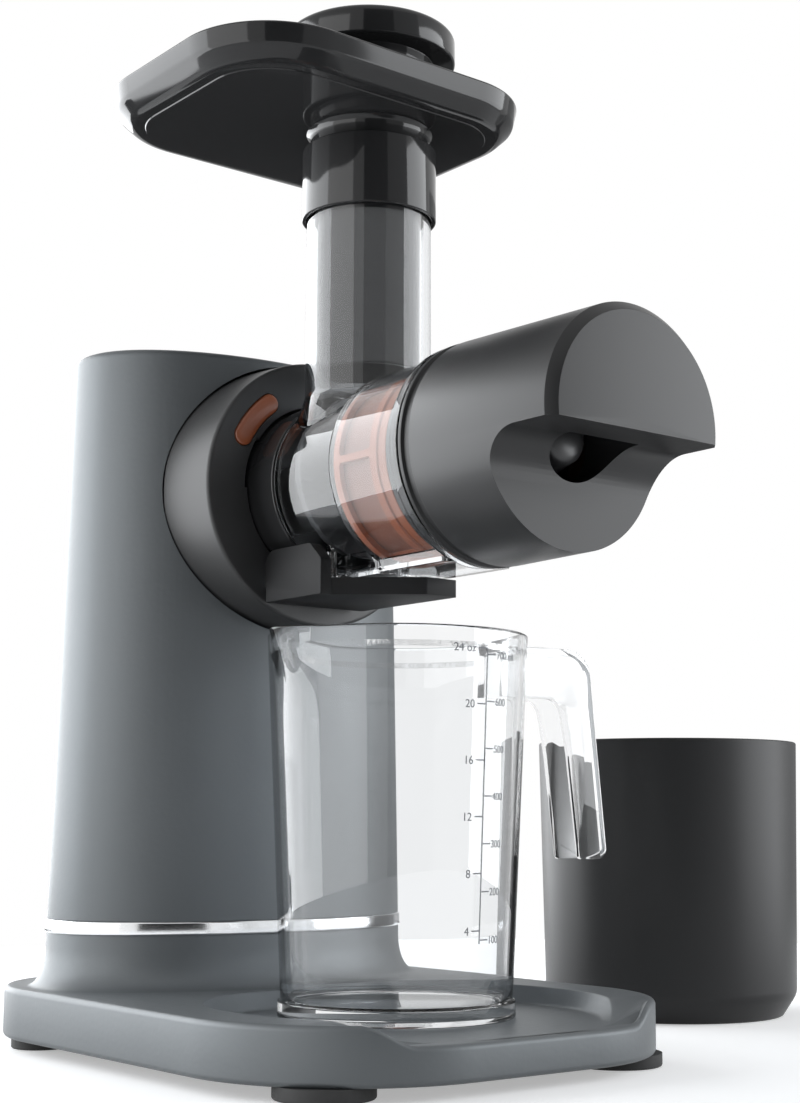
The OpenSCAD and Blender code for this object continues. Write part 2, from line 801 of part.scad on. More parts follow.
module gear_cover() color([0.5, 0.51, 0.53]) machine() difference() {
    union() {
        slab_x(-case_front_x - case_wall, case_wall) case_outline(0);
        rod_x(-case_front_x - over, 0, auger_z, turret_r, case_front_x - turret_front_x + over);
    }
    rod_x(-case_front_x - 2 * case_wall, 0, auger_z, turret_r - case_wall,
        case_front_x - turret_front_x + case_wall);
    rod_x(-case_front_x, 0, auger_z, bush_r + run_gap, case_front_x);
    rod_x(-case_front_x - case_wall - over, idler_y, idler_z, pin_r + run_gap / 2, case_wall + 2 * over);
    case_screw_places() rod_x(-case_front_x - case_wall - over, 0, 0, case_screw_r + fit_gap,
        case_wall + 2 * over);
}

module case_screws() color([0.7, 0.7, 0.72]) machine() case_screw_places() {
    rod_x(-case_front_x - case_wall - screw_len, 0, 0, case_screw_r, screw_len + case_wall);
    rod_x(-case_front_x, 0, 0, 2 * case_screw_r, case_screw_r);
}

// The motor
module motor_can() color([0.6, 0.6, 0.62]) machine() difference() {
    rod_x(x_case_rear - motor_len, motor_y, motor_z, motor_r - over, motor_len);
    rod_x(x_case_rear - motor_len - over, motor_y, motor_z, motor_r - over - case_wall,
        motor_len + over - case_wall);
    rod_x(x_case_rear - motor_len, motor_y, motor_z, motor_shaft_r + run_gap, motor_len + over);
}

module motor_end_cap() color([0.15, 0.15, 0.16]) machine() difference() {
    union() {
        rod_x(x_case_rear - motor_len - case_wall, motor_y, motor_z, motor_r - over, case_wall);
        rod_x(x_case_rear - motor_len - case_wall, motor_y, motor_z, 3 * motor_shaft_r, 2 * case_wall);
    }
    rod_x(x_case_rear - motor_len - case_wall / 2, motor_y, motor_z, motor_shaft_r + run_gap, motor_len);
}

module motor_shaft() color([0.75, 0.75, 0.77]) machine()
    rod_x(x_case_rear - motor_len - case_wall / 4, motor_y, motor_z, motor_shaft_r,
        motor_len + case_wall / 4 + case_rear_x - gear_1_x + gear_1_w);

module rotor_core() color([0.35, 0.3, 0.27]) machine() difference() {
    rod_x(x_case_rear - case_wall - rotor_len - 3 * over, motor_y, motor_z,
        motor_r - over - case_wall - core_gap, rotor_len);
    rod_x(x_case_rear - case_wall - rotor_len - 4 * over, motor_y, motor_z, motor_shaft_r + run_gap / 2,
        rotor_len + 2 * over);
    for (k = [0:9]) translate([x_case_rear - case_wall - rotor_len - 4 * over, motor_y, motor_z])
        rotate([36 * k, 0, 0]) translate([0, -case_wall / 2, 4 * motor_shaft_r])
            cube([rotor_len + 2 * over, case_wall, motor_r]);
}

module motor_pinion() color([0.75, 0.65, 0.4]) machine() difference() {
    gear_x(-gear_1_x, motor_y, motor_z, gear_1_w, teeth_small, mod_1, pinion_phase);
    rod_x(-gear_1_x - over, motor_y, motor_z, motor_shaft_r + run_gap / 2, gear_1_w + 2 * over);
}

module cooling_fan() color([0.2, 0.2, 0.22]) machine() difference() {
    union() {
        rod_x(x_case_rear - motor_len + case_wall + over / 2, motor_y, motor_z, 2 * motor_shaft_r,
            fan_t + over);
        for (k = [0:fan_blades - 1]) translate([x_case_rear - motor_len + case_wall + over, motor_y, motor_z])
            rotate([360 * k / fan_blades, 0, 0]) translate([0, -over / 2, 1.5 * motor_shaft_r])
                cube([fan_t, over, fan_r - 1.5 * motor_shaft_r]);
    }
    rod_x(x_case_rear - motor_len, motor_y, motor_z, motor_shaft_r + run_gap / 2, motor_len);
}

// The idler and the output gear on their pins
module idler_gear() color([0.85, 0.85, 0.8]) machine() difference() {
    union() {
        gear_x(-gear_1_x, idler_y, idler_z, gear_1_w - over, teeth_large, mod_1, idler_large_phase);
        gear_x(-gear_1_x + over, idler_y, idler_z, gear_1_x - gear_2_x + gear_2_w - over, teeth_small,
            mod_2, idler_small_phase);
    }
    rod_x(-gear_1_x - over, idler_y, idler_z, pin_r + run_gap, gear_1_x);
    for (k = [0:5]) rod_x(-gear_1_x - over, idler_y + 0.33 * mod_1 * teeth_large * cos(60 * k),
        idler_z + 0.33 * mod_1 * teeth_large * sin(60 * k), 1.3 * pin_r, gear_1_w + over);
}

module idler_pin() color([0.75, 0.75, 0.77]) machine()
    rod_x(x_case_rear, idler_y, idler_z, pin_r, case_rear_x - case_front_x);

module output_gear() color([0.85, 0.85, 0.8]) machine() difference() {
    union() {
        gear_x(-gear_2_x, 0, auger_z, gear_2_w - over, teeth_large, mod_2, out_phase);
        rod_x(-gear_2_x, 0, auger_z, 2 * hub_r, gear_2_w);
    }
    rod_x(-gear_2_x - over, 0, auger_z, shaft_r + run_gap / 2, gear_2_w + 2 * over);
    for (k = [0:7]) rod_x(-gear_2_x - over, 0.34 * mod_2 * teeth_large * cos(45 * k),
        auger_z + 0.34 * mod_2 * teeth_large * sin(45 * k), hub_r - over, gear_2_w + 2 * over);
}

module output_shaft() color([0.75, 0.75, 0.77]) machine() {
    rod_x(-gear_2_x - over, 0, auger_z, shaft_r, gear_2_x + over + socket_floor_x);
    translate([socket_floor_x, 0, auger_z]) rotate([0, 90, 0])
        cylinder(r = drive_flats / 2 / cos(30), h = drive_out, $fn = 6);
}

module output_bush() color([0.7, 0.55, 0.3]) machine() difference() {
    rod_x(-turret_front_x - bush_len, 0, auger_z, bush_r, bush_len);
    rod_x(-turret_front_x - bush_len - over, 0, auger_z, shaft_r + run_gap, bush_len + 2 * over);
}

module shaft_seal() color([0.25, 0.25, 0.26]) machine() difference() {
    rod_x(socket_floor_x, 0, auger_z, seal_r, seal_t);
    rod_x(socket_floor_x - over, 0, auger_z, drive_flats / 2 / cos(30) + run_gap, seal_t + 2 * over);
}

// The clear juicing chamber with its chute, its flange and its spout
module gate_inside(grow) {
    x0 = -gate_rear + gate_wall + grow;
    x1 = gate_front - gate_wall - grow;
    y1 = gate_right;
    slope = (gate_bend_y + gate_corner_y) / (gate_front - gate_corner_x);
    shift = (gate_wall + grow) * sqrt(1 + slope * slope);
    y0 = -gate_corner_y + grow;
    polygon([[x0, y0], [gate_corner_x - shift / slope, y0],
        [x1, gate_bend_y - slope * (gate_front - x1) + shift], [x1, y1], [x0, y1]]);
}

// A block under the chamber, from the drip stop's rails up to the axis, drawn in by wall
module under_block(x0, x1, y1, z0, wall) {
    translate([x0 + wall, -y1 + wall, z0 + wall]) cube([x1 - x0 - 2 * wall, 2 * y1 - 2 * wall,
        auger_z - z0 - wall]);
}

module juicing_chamber() color([0.8, 0.85, 0.9, 0.35]) machine() difference() {
    duct_z = gate_rail_z + fit_gap;
    trough_z = gate_rail_z + trough_rise;
    trough_to = chamber_end - flange_w + over / 2;
    union() {
        turned([[0, socket_floor_x + 2 * over], [neck_r - ring_wall + over / 4, socket_floor_x + 2 * over],
            [neck_r - ring_wall + over / 4, -ring_front_x], [neck_r, -ring_front_x], [neck_r, shoulder_x],
            [neck_r + 0.55 * (big_r - neck_r), shoulder_x + 0.2 * shoulder_len],
            [big_r, shoulder_x + shoulder_len], [big_r, chamber_end - flange_w],
            [flange_r, chamber_end - flange_w], [flange_r, chamber_end], [spigot_r, chamber_end],
            [spigot_r, chamber_end + spigot_len], [0, chamber_end + spigot_len]]);
        translate([0, 0, auger_z]) cylinder(r = chute_r, h = chute_top - auger_z);
        translate([0, 0, chute_root_z]) cylinder(r1 = chute_root_r, r2 = chute_r, h = chute_root_h);
        under_block(-duct_rear, duct_front, duct_y, duct_z, 0);
        under_block(trough_from, trough_to, trough_y, trough_z, 0);
        for (y = [-leg_left - leg_t, leg_right]) translate([leg_x, y, foot_plate_z + foot_plate_t / 2])
            cube([leg_t, leg_t, auger_z - neck_r / 2 - foot_plate_z]);
        translate([spout_x, 0, foot_plate_z + foot_plate_t / 2]) cylinder(r = spout_neck_r,
            h = gate_rail_z + over - foot_plate_z);
        translate([0, 0, foot_plate_z]) linear_extrude(foot_plate_t) gate_inside(fit_gap);
    }
    turned([[0, socket_floor_x], [neck_bore, socket_floor_x], [neck_bore, shoulder_x + shoulder_len],
        [big_bore, shoulder_x + shoulder_len], [big_bore, chamber_end + spigot_len + over],
        [0, chamber_end + spigot_len + over]]);
    translate([0, 0, auger_z]) cylinder(r = chute_bore, h = chute_top);
    under_block(-duct_rear, duct_front, duct_y, duct_z, duct_wall);
    under_block(trough_from, trough_to, trough_y, trough_z, duct_wall);
    under_block(0, trough_to - over, duct_y - fit_gap, trough_z + fit_gap, duct_wall);
    translate([spout_x, 0, foot_plate_z + foot_plate_t]) cylinder(r = neck_well_r,
        h = gate_rail_z + 2 * duct_wall - foot_plate_z);
    translate([spout_x, 0, foot_plate_z - over]) cylinder(r = spout_r, h = foot_plate_t + 2 * over);
}

// The black ring that locks the neck in the drum
module bayonet_ring() color([0.12, 0.12, 0.13]) machine() difference() {
    union() {
        turned([[neck_r - ring_wall + over / 4 + run_gap, socket_floor_x + 2 * over],
            [neck_r + 2 * fit_gap, socket_floor_x + 2 * over],
            [neck_r + 2 * fit_gap, -ring_front_x - run_gap], [neck_r - ring_wall + over / 4 + run_gap,
                -ring_front_x - run_gap]]);
        for (k = [0:2]) slab_x(socket_floor_x + fit_gap, lug_w) translate([0, auger_z]) polygon(concat(
            arc(0, 0, lug_r, 120 * k + 90 - lug_angle / 2, 120 * k + 90 + lug_angle / 2, 8),
            arc(0, 0, neck_r - ring_wall + over, 120 * k + 90 + lug_angle / 2,
                120 * k + 90 - lug_angle / 2, 8)));
    }
    translate([0, 0, auger_z]) cylinder(r = chute_root_r + fit_gap, h = chute_root_z);
}

// The filter: a frame with windows and the fine screen inside it
module filter_frame() color([0.74, 0.38, 0.22]) machine() difference() {
    turned([[filter_r - frame_t, filter_start], [filter_r, filter_start], [filter_r, filter_end],
        [filter_r - frame_t, filter_end]]);
    for (k = [0:filter_ribs - 1]) {
        mid = rib_angle + 360 * (k + 1 / 2) / filter_ribs;
        half = 180 / filter_ribs - asin(rib_w / 2 / filter_r);
        slab_x(filter_start + band_w, filter_end - filter_start - band_w - outlet_band_w)
            translate([0, auger_z]) polygon(concat(arc(0, 0, filter_r / 2, mid + half, mid - half, 6),
                arc(0, 0, 2 * filter_r, mid - half, mid + half, 6)));
    }
}

module filter_screen() color([0.7, 0.4, 0.27]) machine()
    turned([[filter_r - frame_t - screen_gap - screen_t, filter_start], [filter_r - frame_t - screen_gap,
        filter_start],
        [filter_r - frame_t - screen_gap, filter_end], [filter_r - frame_t - screen_gap - screen_t,
            filter_end]]);

// The auger. One surface winds from end to end: the core with its flight rising from it.
// Its core grows and its pitch shrinks towards the filter, and the nose tapers.
auger_turns = feed_turns + squeeze_turns + nose_turns;
function auger_x(u) =
    u < feed_turns ? -flight_start + (flight_start + flight_mid) * u / feed_turns :
    u < feed_turns + squeeze_turns ? flight_mid + (flight_end - flight_mid) * (u - feed_turns) / squeeze_turns :
    flight_end + (nose_end - flight_end) * (u - feed_turns - squeeze_turns) / nose_turns;
function mix(a, b, t) = a + (b - a) * min(max(t, 0), 1);
function core_at(x) =
    x < flight_end ? mix(core_r, core_r_squeeze, (x + flight_start) / (flight_mid + flight_start)) :
    mix(core_r_squeeze, nose_r, (x - flight_end) / (nose_end - flight_end));
function crest_at(x, u) =
    let (full = x < flight_end ? flight_r :
             mix(flight_r, nose_r + 2 * over, pow((x - flight_end) / (cone_end_x - flight_end), 0.8)),
         fade = min(min(1, u * 3), (auger_turns - u) * 2))
        mix(core_at(x), max(full, core_at(x)), fade);
module auger_screw() {
    n = auger_turns * turn_steps;
    // the flight as a tube with its root under the core's surface
    loft([for (i = [0:n]) let (u = i / turn_steps, x = auger_x(u),
            p = (auger_x(min(u + 0.5, auger_turns)) - auger_x(max(u - 0.5, 0))) / (min(u + 0.5,
                auger_turns) - max(u - 0.5, 0)),
            a = 360 * u, r1 = max(crest_at(x, u), core_at(x) - over / 2), r0 = core_at(x) - 2 * over)
        [for (q = [[r0, root_share / 2], [r1, crest_share / 2], [r1, -crest_share / 2], [r0,
            -root_share / 2]])
            [q[0] * cos(a), q[0] * sin(a), x + p * q[1]]]]);
}

module auger() color([0.16, 0.16, 0.17]) machine() difference() {
    union() {
        turned(concat([[0, -auger_back], [core_r, -auger_back]],
            [for (i = [0:core_rings]) let (x = -auger_back + (nose_end + auger_back) * i / core_rings) [core_at(x), x]],
            [[nose_r - over, nose_end + over], [0, nose_end + over]]));
        translate([0, 0, auger_z]) rotate([0, 90, 0]) auger_screw();
    }
    translate([-auger_back - over, 0, auger_z]) rotate([0, 90, 0])
        cylinder(r = (drive_flats / 2 + run_gap) / cos(30),
            h = auger_back + socket_floor_x + drive_out + 2 * over, $fn = 6);
}

// The drip stop: a gate in rails under the spout, with a finger grip at its left end
module drip_stop() color([0.12, 0.12, 0.13]) machine() {
    difference() {
        translate([0, 0, gate_bottom]) linear_extrude(gate_rail_z - gate_bottom)
            polygon([[-gate_rear, -gate_left], [gate_corner_x, -gate_left], [gate_corner_x, -gate_corner_y],
                [gate_front, gate_bend_y], [gate_front, gate_right - over], [gate_front - over,
                    gate_right], [-gate_rear, gate_right]]);
        translate([0, 0, gate_bottom + gate_t])
            linear_extrude(foot_plate_z + foot_plate_t + fit_gap - gate_bottom - gate_t) gate_inside(0);
        translate([0, 0, gate_bottom + gate_t + over / 2]) linear_extrude(gate_end_z) gate_inside(gate_lip);
    }
    translate([0, -gate_corner_y, 0]) rotate([90, 0, 0]) linear_extrude(gate_left - gate_corner_y)
        polygon(concat([[gate_corner_x, gate_bottom], [gate_corner_x, gate_end_z],
            [grip_flat_front, grip_top]], arc(-gate_rear / 2 - over, grip_top - over, over, 90, 180, 3),
            arc(-gate_rear + grip_r, grip_top - grip_r, grip_r, 120, 180, 6),
            arc(-gate_rear + 2 * grip_r, gate_bottom + grip_r, 2 * grip_r, 190, 240, 6)));
}

// The end cap with its visor over the pulp outlet
module end_cap() color([0.12, 0.12, 0.13]) machine() difference() {
    turned([[0, chamber_end + fit_gap], [cap_r - cap_groove, chamber_end + fit_gap],
        [cap_r, chamber_end + fit_gap + cap_groove], [cap_r, cap_ring_x - 4 * over], [cap_r - cap_groove,
            cap_ring_x - 3.5 * over],
        [cap_r - cap_groove, cap_ring_x - over], [cap_r, cap_ring_x - over / 2],
        [cap_r_front, cap_end - cap_bevel], [cap_r_front - cap_bevel, cap_end], [0, cap_end]]);
    turned([[0, chamber_end], [spigot_r + fit_gap, chamber_end], [spigot_r + fit_gap,
        chamber_end + spigot_len + fit_gap + seal_t],
        [big_bore - frame_t, chamber_end + spigot_len + fit_gap + seal_t],
        [pulp_r, cone_end_x], [pulp_r, cap_step + visor_t], [0, cap_step + visor_t]]);
    translate([0, -cap_r - over, 0]) rotate([90, 0, 180]) mirror([1, 0, 0]) translate([0, 0, -over])
        linear_extrude(2 * cap_r + 4 * over)
            polygon(concat([[cap_step, auger_z - cap_r - over]],
                [for (q = arc(cap_step + visor_fillet, auger_z - visor_drop - visor_fillet, visor_fillet,
                    180, 90, 8)) q],
                [[cap_end + over, auger_z - visor_drop], [cap_end + over, auger_z - cap_r - over]]));
}

module cap_seal() color([0.6, 0.62, 0.64]) machine() difference() {
    rod_x(chamber_end + spigot_len + fit_gap / 2, 0, auger_z, spigot_r, seal_t);
    rod_x(chamber_end + spigot_len - over, 0, auger_z, big_bore - frame_t / 2, seal_t + 3 * over);
}

// The hopper tray on its collar
function tray_ring(inset, z) = block_ring(-tray_rear, tray_front, -tray_left, tray_right,
    tray_r, tray_r, inset, z);
module hopper_tray() color([0.12, 0.12, 0.13]) machine() difference() {
    union() {
        loft([tray_ring(tray_round + tray_slope, tray_bottom), tray_ring(0.35 * tray_round + tray_slope,
            tray_bottom + 0.3 * tray_round),
            tray_ring(tray_slope * 0.7, tray_bottom + tray_round), tray_ring(0, tray_top)]);
        rotate_extrude() polygon(concat([[neck_inner, collar_z], [collar_r - over / 2, collar_z],
            [collar_r, collar_z + over / 2],
            [collar_r, collar_top - over / 2], [collar_r - over / 2, collar_top], [neck_outer, collar_top]],
            arc(neck_outer + neck_fillet, tray_bottom - neck_fillet + over, neck_fillet, 180, 90, 6),
            [[neck_inner, tray_bottom + over]]));
    }
    loft([tray_ring(tray_round + tray_slope + tray_wall, tray_bottom + tray_wall),
        tray_ring(0.35 * tray_round + tray_slope + tray_wall, tray_bottom + tray_wall + 0.3 * tray_round),
        tray_ring(tray_slope * 0.7 + tray_wall, tray_bottom + tray_wall + tray_round), tray_ring(tray_wall,
            tray_top + over)]);
    translate([0, 0, collar_z - over]) cylinder(r = chute_r + fit_gap,
        h = chute_top + fit_gap - collar_z + over);
    translate([0, 0, collar_z - over]) cylinder(r = neck_inner, h = tray_top - collar_z);
}

// The pusher, hollow, with its wide cap
module pusher() color([0.12, 0.12, 0.13]) machine() difference() {
    rotate_extrude() polygon(concat([[0, pusher_bottom], [pusher_r - over, pusher_bottom], [pusher_r,
        pusher_bottom + over],
        [pusher_r, pusher_top - pusher_cap_h - pusher_step_h], [pusher_step_r,
            pusher_top - pusher_cap_h - pusher_step_h + over],
        [pusher_step_r, pusher_top - pusher_cap_h],
        [pusher_cap_r - pusher_round / 2, pusher_top - pusher_cap_h], [pusher_cap_r,
            pusher_top - pusher_cap_h + pusher_round / 2]],
        arc(pusher_cap_r - pusher_round, pusher_top - pusher_round, pusher_round, 0, 90, 6), [[0,
            pusher_top]]));
    translate([0, 0, pusher_bottom - over]) cylinder(r = pusher_r - pusher_wall,
        h = pusher_top - pusher_bottom - pusher_cap_h);
}

// The clear jug with its pouring lip and its open channel of a handle
module jug_wall_outline(grow) {
    polygon([[0, jug_z + grow], [jug_r_bottom - grow, jug_z + grow], [jug_r - grow, jug_top + over * grow],
        [0, jug_top + over * grow]]);
}

module jug_beak(grow, up) {
    hull() {
        translate([0, -jug_r + jug_wall, jug_top - spout_drop]) cylinder(r = over - grow / 4, h = over,
            $fn = 24);
        for (s = [-1, 1]) translate([s * spout_half, -jug_r + 3 * jug_wall, jug_top - over + up])
            cylinder(r = jug_wall - grow, h = over, $fn = 24);
        translate([0, -jug_r - spout_reach + jug_wall + over, jug_top - over + up])
            cylinder(r = jug_wall + over - grow, h = over, $fn = 24);
    }
}

module handle_shape(web, out) {
    polygon(concat(
        [[jug_r - 2 * jug_wall, jug_top - web], [handle_top_y, jug_top - web]],
        [for (i = [1:6]) let (t = i / 6, s = 1 - t)
            [s * s * handle_top_y + 2 * s * t * (handle_shoulder_y - 3 * over) + t * t * handle_shoulder_y - web * t,
             s * s * (jug_top - web) + 2 * s * t * (jug_top - web) + t * t * handle_shoulder_z]],
        [[handle_mid_y - web, handle_mid_z], [handle_reach - web, handle_bottom + 3 * over],
         [handle_reach - web - over, handle_bottom - (web > 0 ? 2 * over : 0)],
         [handle_in_low_y - out, handle_bottom - (web > 0 ? 2 * over : 0)],
         [handle_in_mid_y - out, handle_in_mid_z], [handle_in_top_y - out, handle_in_top_z],
         [jug_r - 2 * jug_wall, handle_in_top_z - out / 4]]));
}

module juice_jug() color([0.85, 0.9, 0.92, 0.3]) machine() translate([jug_x, 0, 0]) difference() {
    union() {
        rotate_extrude() jug_wall_outline(0);
        translate([0, 0, jug_z]) cylinder(r1 = jug_foot_r - over / 2, r2 = jug_foot_r, h = jug_foot_h / 2);
        translate([0, 0, jug_z + jug_foot_h / 2]) cylinder(r1 = jug_foot_r, r2 = jug_foot_r - over,
            h = jug_foot_h / 2);
        jug_beak(0, 0);
        difference() {
            slab_x(-handle_w / 2, handle_w) handle_shape(0, 0);
            slab_x(-handle_w / 2 + handle_side, handle_w - 2 * handle_side) handle_shape(handle_web,
                2 * over);
        }
    }
    rotate_extrude() polygon([[0, jug_z + jug_floor_t], [jug_r_bottom - jug_wall, jug_z + jug_floor_t],
        [jug_r - jug_wall, jug_top + over], [0, jug_top + over]]);
    jug_beak(jug_wall - over / 2, 2 * over);
}

// The pulp container
module pulp_container() color([0.16, 0.16, 0.17]) machine() translate([-bin_x, bin_y, 0]) rotate_extrude()
    polygon(concat(
    [[0, 0], [bin_r_bottom - bin_round - bin_foot_step, 0], [bin_r_bottom - bin_round, bin_foot_h]],
    arc(bin_r_bottom - bin_round, bin_foot_h + bin_round, bin_round, -80, 0, 6),
    [[bin_r - over / 2, bin_h], [bin_r - bin_wall + over / 2, bin_h]],
    arc(bin_r_bottom - bin_round, bin_foot_h + bin_round, bin_round - bin_wall, 0, -90, 6),
    [[0, bin_foot_h + bin_wall]]));

base_housing();
bottom_cover();
feet();
cover_screws();
cord_outlet();
chrome_band();
tower_shell();
top_panel();
start_button();
reverse_button();
button_pads();
control_board();
drum_housing();
release_button();
release_spring();
gear_case();
gear_cover();
case_screws();
motor_can();
motor_end_cap();
motor_shaft();
rotor_core();
motor_pinion();
cooling_fan();
idler_gear();
idler_pin();
output_gear();
output_shaft();
output_bush();
shaft_seal();
juicing_chamber();
bayonet_ring();
filter_frame();
filter_screen();
auger();
drip_stop();
end_cap();
cap_seal();
hopper_tray();
pusher();
juice_jug();
pulp_container();
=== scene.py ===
import json
from math import atan2, copysign, cos, degrees, exp, hypot, pi, radians, sin, tan

import bmesh
import bpy
from mathutils import Matrix, Vector


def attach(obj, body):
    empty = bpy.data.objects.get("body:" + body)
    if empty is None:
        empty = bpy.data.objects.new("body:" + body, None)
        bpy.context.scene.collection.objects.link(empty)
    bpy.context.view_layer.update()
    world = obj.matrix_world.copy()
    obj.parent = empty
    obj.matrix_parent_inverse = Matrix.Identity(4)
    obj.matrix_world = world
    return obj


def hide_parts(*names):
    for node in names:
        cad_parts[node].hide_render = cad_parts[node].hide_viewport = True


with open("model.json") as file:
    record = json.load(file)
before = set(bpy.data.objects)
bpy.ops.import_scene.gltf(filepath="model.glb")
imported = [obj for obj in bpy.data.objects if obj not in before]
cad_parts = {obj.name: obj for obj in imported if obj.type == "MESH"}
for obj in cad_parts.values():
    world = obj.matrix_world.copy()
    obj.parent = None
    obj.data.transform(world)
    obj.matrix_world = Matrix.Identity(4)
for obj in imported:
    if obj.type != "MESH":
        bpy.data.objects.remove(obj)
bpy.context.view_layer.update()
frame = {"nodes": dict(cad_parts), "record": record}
nodes = frame["nodes"]
slot_of = {s["node"]: s["material_slot"] for s in frame["record"]["subparts"]}

# Sizes are in millimetres, the same as the part's own. X runs along the auger from the chute,
# Y from the auger plane and Z from the counter.
AUGER_PLANE = -86.3
AXIS_Z = 205.3
TURN_STEPS = 144
JUG_STEPS = 176
WELD = 1e-6

TOWER_X = -87.0
TOWER_TOP = 259.8
BAND_Z = 41.8
BAND_H = 5.0
DRUM_FACE = -29.0
DRUM_R = 50.4
DRUM_FLARE = 1.6
SOCKET_FLOOR = -46.0
NECK_R = 32.0
NECK_BORE = 29.2
SECTION_R = 36.0
SECTION_BORE = 33.0
SHOULDER_X = 21.0
CHAMBER_END = 66.0
CHUTE_R = 23.2
CHUTE_BORE = 20.7
CHUTE_TOP = 328.0
FILTER_R = 32.6
FILTER_START = 25.4
FILTER_END = 53.6
FLIGHT_R = 28.2
CAP_END = 138.2
CAP_STEP = 108.0
JUG_X = 18.4
JUG_TOP = 147.5
JUG_BOTTOM = 16.7
JUG_R = 46.0
JUG_R_LOW = 39.7
JUG_WALL = 2.2
FLOOR_TOP = 16.4
CONTAINER_X = -46.1
CONTAINER_Y = 204.8
PUSHER_TOP = 377.0
TRAY_LOW = 338.5
TRAY_HIGH = 350.9
GATE_LOW = 161.8
GATE_HIGH = 167.9

# The base's outline: its ends, half its width, its corner radii, and how far the lip's slope reaches
BASE_REAR = -138.4
BASE_FRONT = 91.1
BASE_HALF = 89.4
BASE_R_REAR = 52
BASE_R_FRONT = 63
RIM_TOP = 22.7
LIP_HALF = 61.5
LIP_SLOPE = 16

# Studio sizes: how far off the reflecting walls stand, the floor's radius, and the lamps' aim
STUDIO_R = 1150
FLOOR_R = 620
LAMP_AIM = 190


# Mesh helpers
def metres(p):
    """A point of the part in millimetres, as a place in the scene."""
    return Vector((p[0], p[1] + AUGER_PLANE, p[2])) / 1000


def about_auger(r, t, x):
    return (x, r * cos(t), AXIS_Z + r * sin(t))


def about_upright(cx, cy=0.0):
    return lambda r, t, z: (cx + r * cos(t), cy + r * sin(t), z)


def skinned(rings, closed=False):
    """A mesh through rings of points. Its ends are closed by faces, or joined to each other."""
    bm = bmesh.new()
    rows = [[bm.verts.new(metres(p)) for p in ring] for ring in rings]
    for a, b in list(zip(rows, rows[1:])) + ([(rows[-1], rows[0])] if closed else []):
        for i in range(len(a)):
            j = (i + 1) % len(a)
            bm.faces.new((a[i], a[j], b[j], b[i]))
    if not closed:
        bm.faces.new(rows[0][::-1])
        bm.faces.new(rows[-1])
    return bm


def spun(profile, where=about_auger, closed=True, steps=TURN_STEPS):
    """A turned mesh from a profile of radius and height. A radius of nought is a point on the axis."""
    bm = bmesh.new()
    rows = [[bm.verts.new(metres(where(r, 2 * pi * i / steps, h))) for i in range(steps if r > 0 else 1)]
            for r, h in profile]
    for a, b in list(zip(rows, rows[1:])) + ([(rows[-1], rows[0])] if closed else []):
        for i in range(steps):
            corners = [a[i % len(a)], a[(i + 1) % steps % len(a)], b[(i + 1) % steps % len(b)],
                       b[i % len(b)]]
            corners = list(dict.fromkeys(corners))
            if len(corners) > 2:
                bm.faces.new(corners)
    return bm


def rounded(corners, closed=True, steps=6):
    """An outline from corners of two coordinates and a radius, each rounded by an arc."""
    out = []
    for i, (u, v, r) in enumerate(corners):
        here = Vector((u, v))
        if r <= 0 or (not closed and i in (0, len(corners) - 1)):
            out.append((u, v))
            continue
        a = Vector(corners[i - 1][:2]) - here
        b = Vector(corners[(i + 1) % len(corners)][:2]) - here
        half = a.angle(b) / 2
        reach = min(r / tan(half), 0.48 * a.length, 0.48 * b.length)
        a.normalize()
        b.normalize()
        centre = here + (a + b).normalized() * (reach / cos(half))
        start, end = here + a * reach - centre, here + b * reach - centre
        swing = atan2(start.x * end.y - start.y * end.x, start.dot(end))
        for k in range(steps + 1):
            t = swing * k / steps
            out.append((centre.x + start.x * cos(t) - start.y * sin(t),
                        centre.y + start.x * sin(t) + start.y * cos(t)))
    return out


def stepped(profile, reach=3.0):
    """A profile with its long straights split, so that a cut at one end leaves the rest smooth."""
    out = []
    for (u, v), (u2, v2) in zip(profile, profile[1:]):
        steps = max(1, int(hypot(u2 - u, v2 - v) / reach)) if u and u2 else 1
        out += [(u + (u2 - u) * k / steps, v + (v2 - v) * k / steps) for k in range(steps)]
    return out + profile[-1:]


def prism(outline, place, low, high):
    """An outline pushed from low to high, where place turns u, v and the height into a point."""
    return skinned([[place(u, v, h) for u, v in outline] for h in (low, high)])


def along_x(u, v, h):
    return (h, u, v)


def along_y(u, v, h):
    return (u, h, v)


def along_z(u, v, h):
    return (u, v, h)


def box(x0, x1, y0, y1, z0, z1, r=0.0):
    return prism(rounded([(x0, y0, r), (x1, y0, r), (x1, y1, r), (x0, y1, r)]), along_z, z0, z1)


def as_object(bm):
    mesh = bpy.data.meshes.new("work")
    bmesh.ops.recalc_face_normals(bm, faces=bm.faces)
    bm.to_mesh(mesh)
    bm.free()
    obj = bpy.data.objects.new("work", mesh)
    bpy.context.scene.collection.objects.link(obj)
    return obj


def settled(obj, *helpers):
    """The mesh that an object's modifiers give. The object and its helpers go."""
    mesh = bpy.data.meshes.new_from_object(obj.evaluated_get(bpy.context.evaluated_depsgraph_get()))
    bm = bmesh.new()
    bm.from_mesh(mesh)
    bpy.data.meshes.remove(mesh)
    for o in (obj, *helpers):
        bpy.data.meshes.remove(o.data)
    return bm


def joined(bm, *others, how="UNION"):
    """The first mesh with the others added, or cut away."""
    for other in others:
        base, tool = as_object(bm), as_object(other)
        modifier = base.modifiers.new("join", "BOOLEAN")
        modifier.operation = how
        modifier.object = tool
        modifier.solver = "EXACT"
        bm = settled(base, tool)
    return bm


def cut(bm, *others):
    return joined(bm, *others, how="DIFFERENCE")


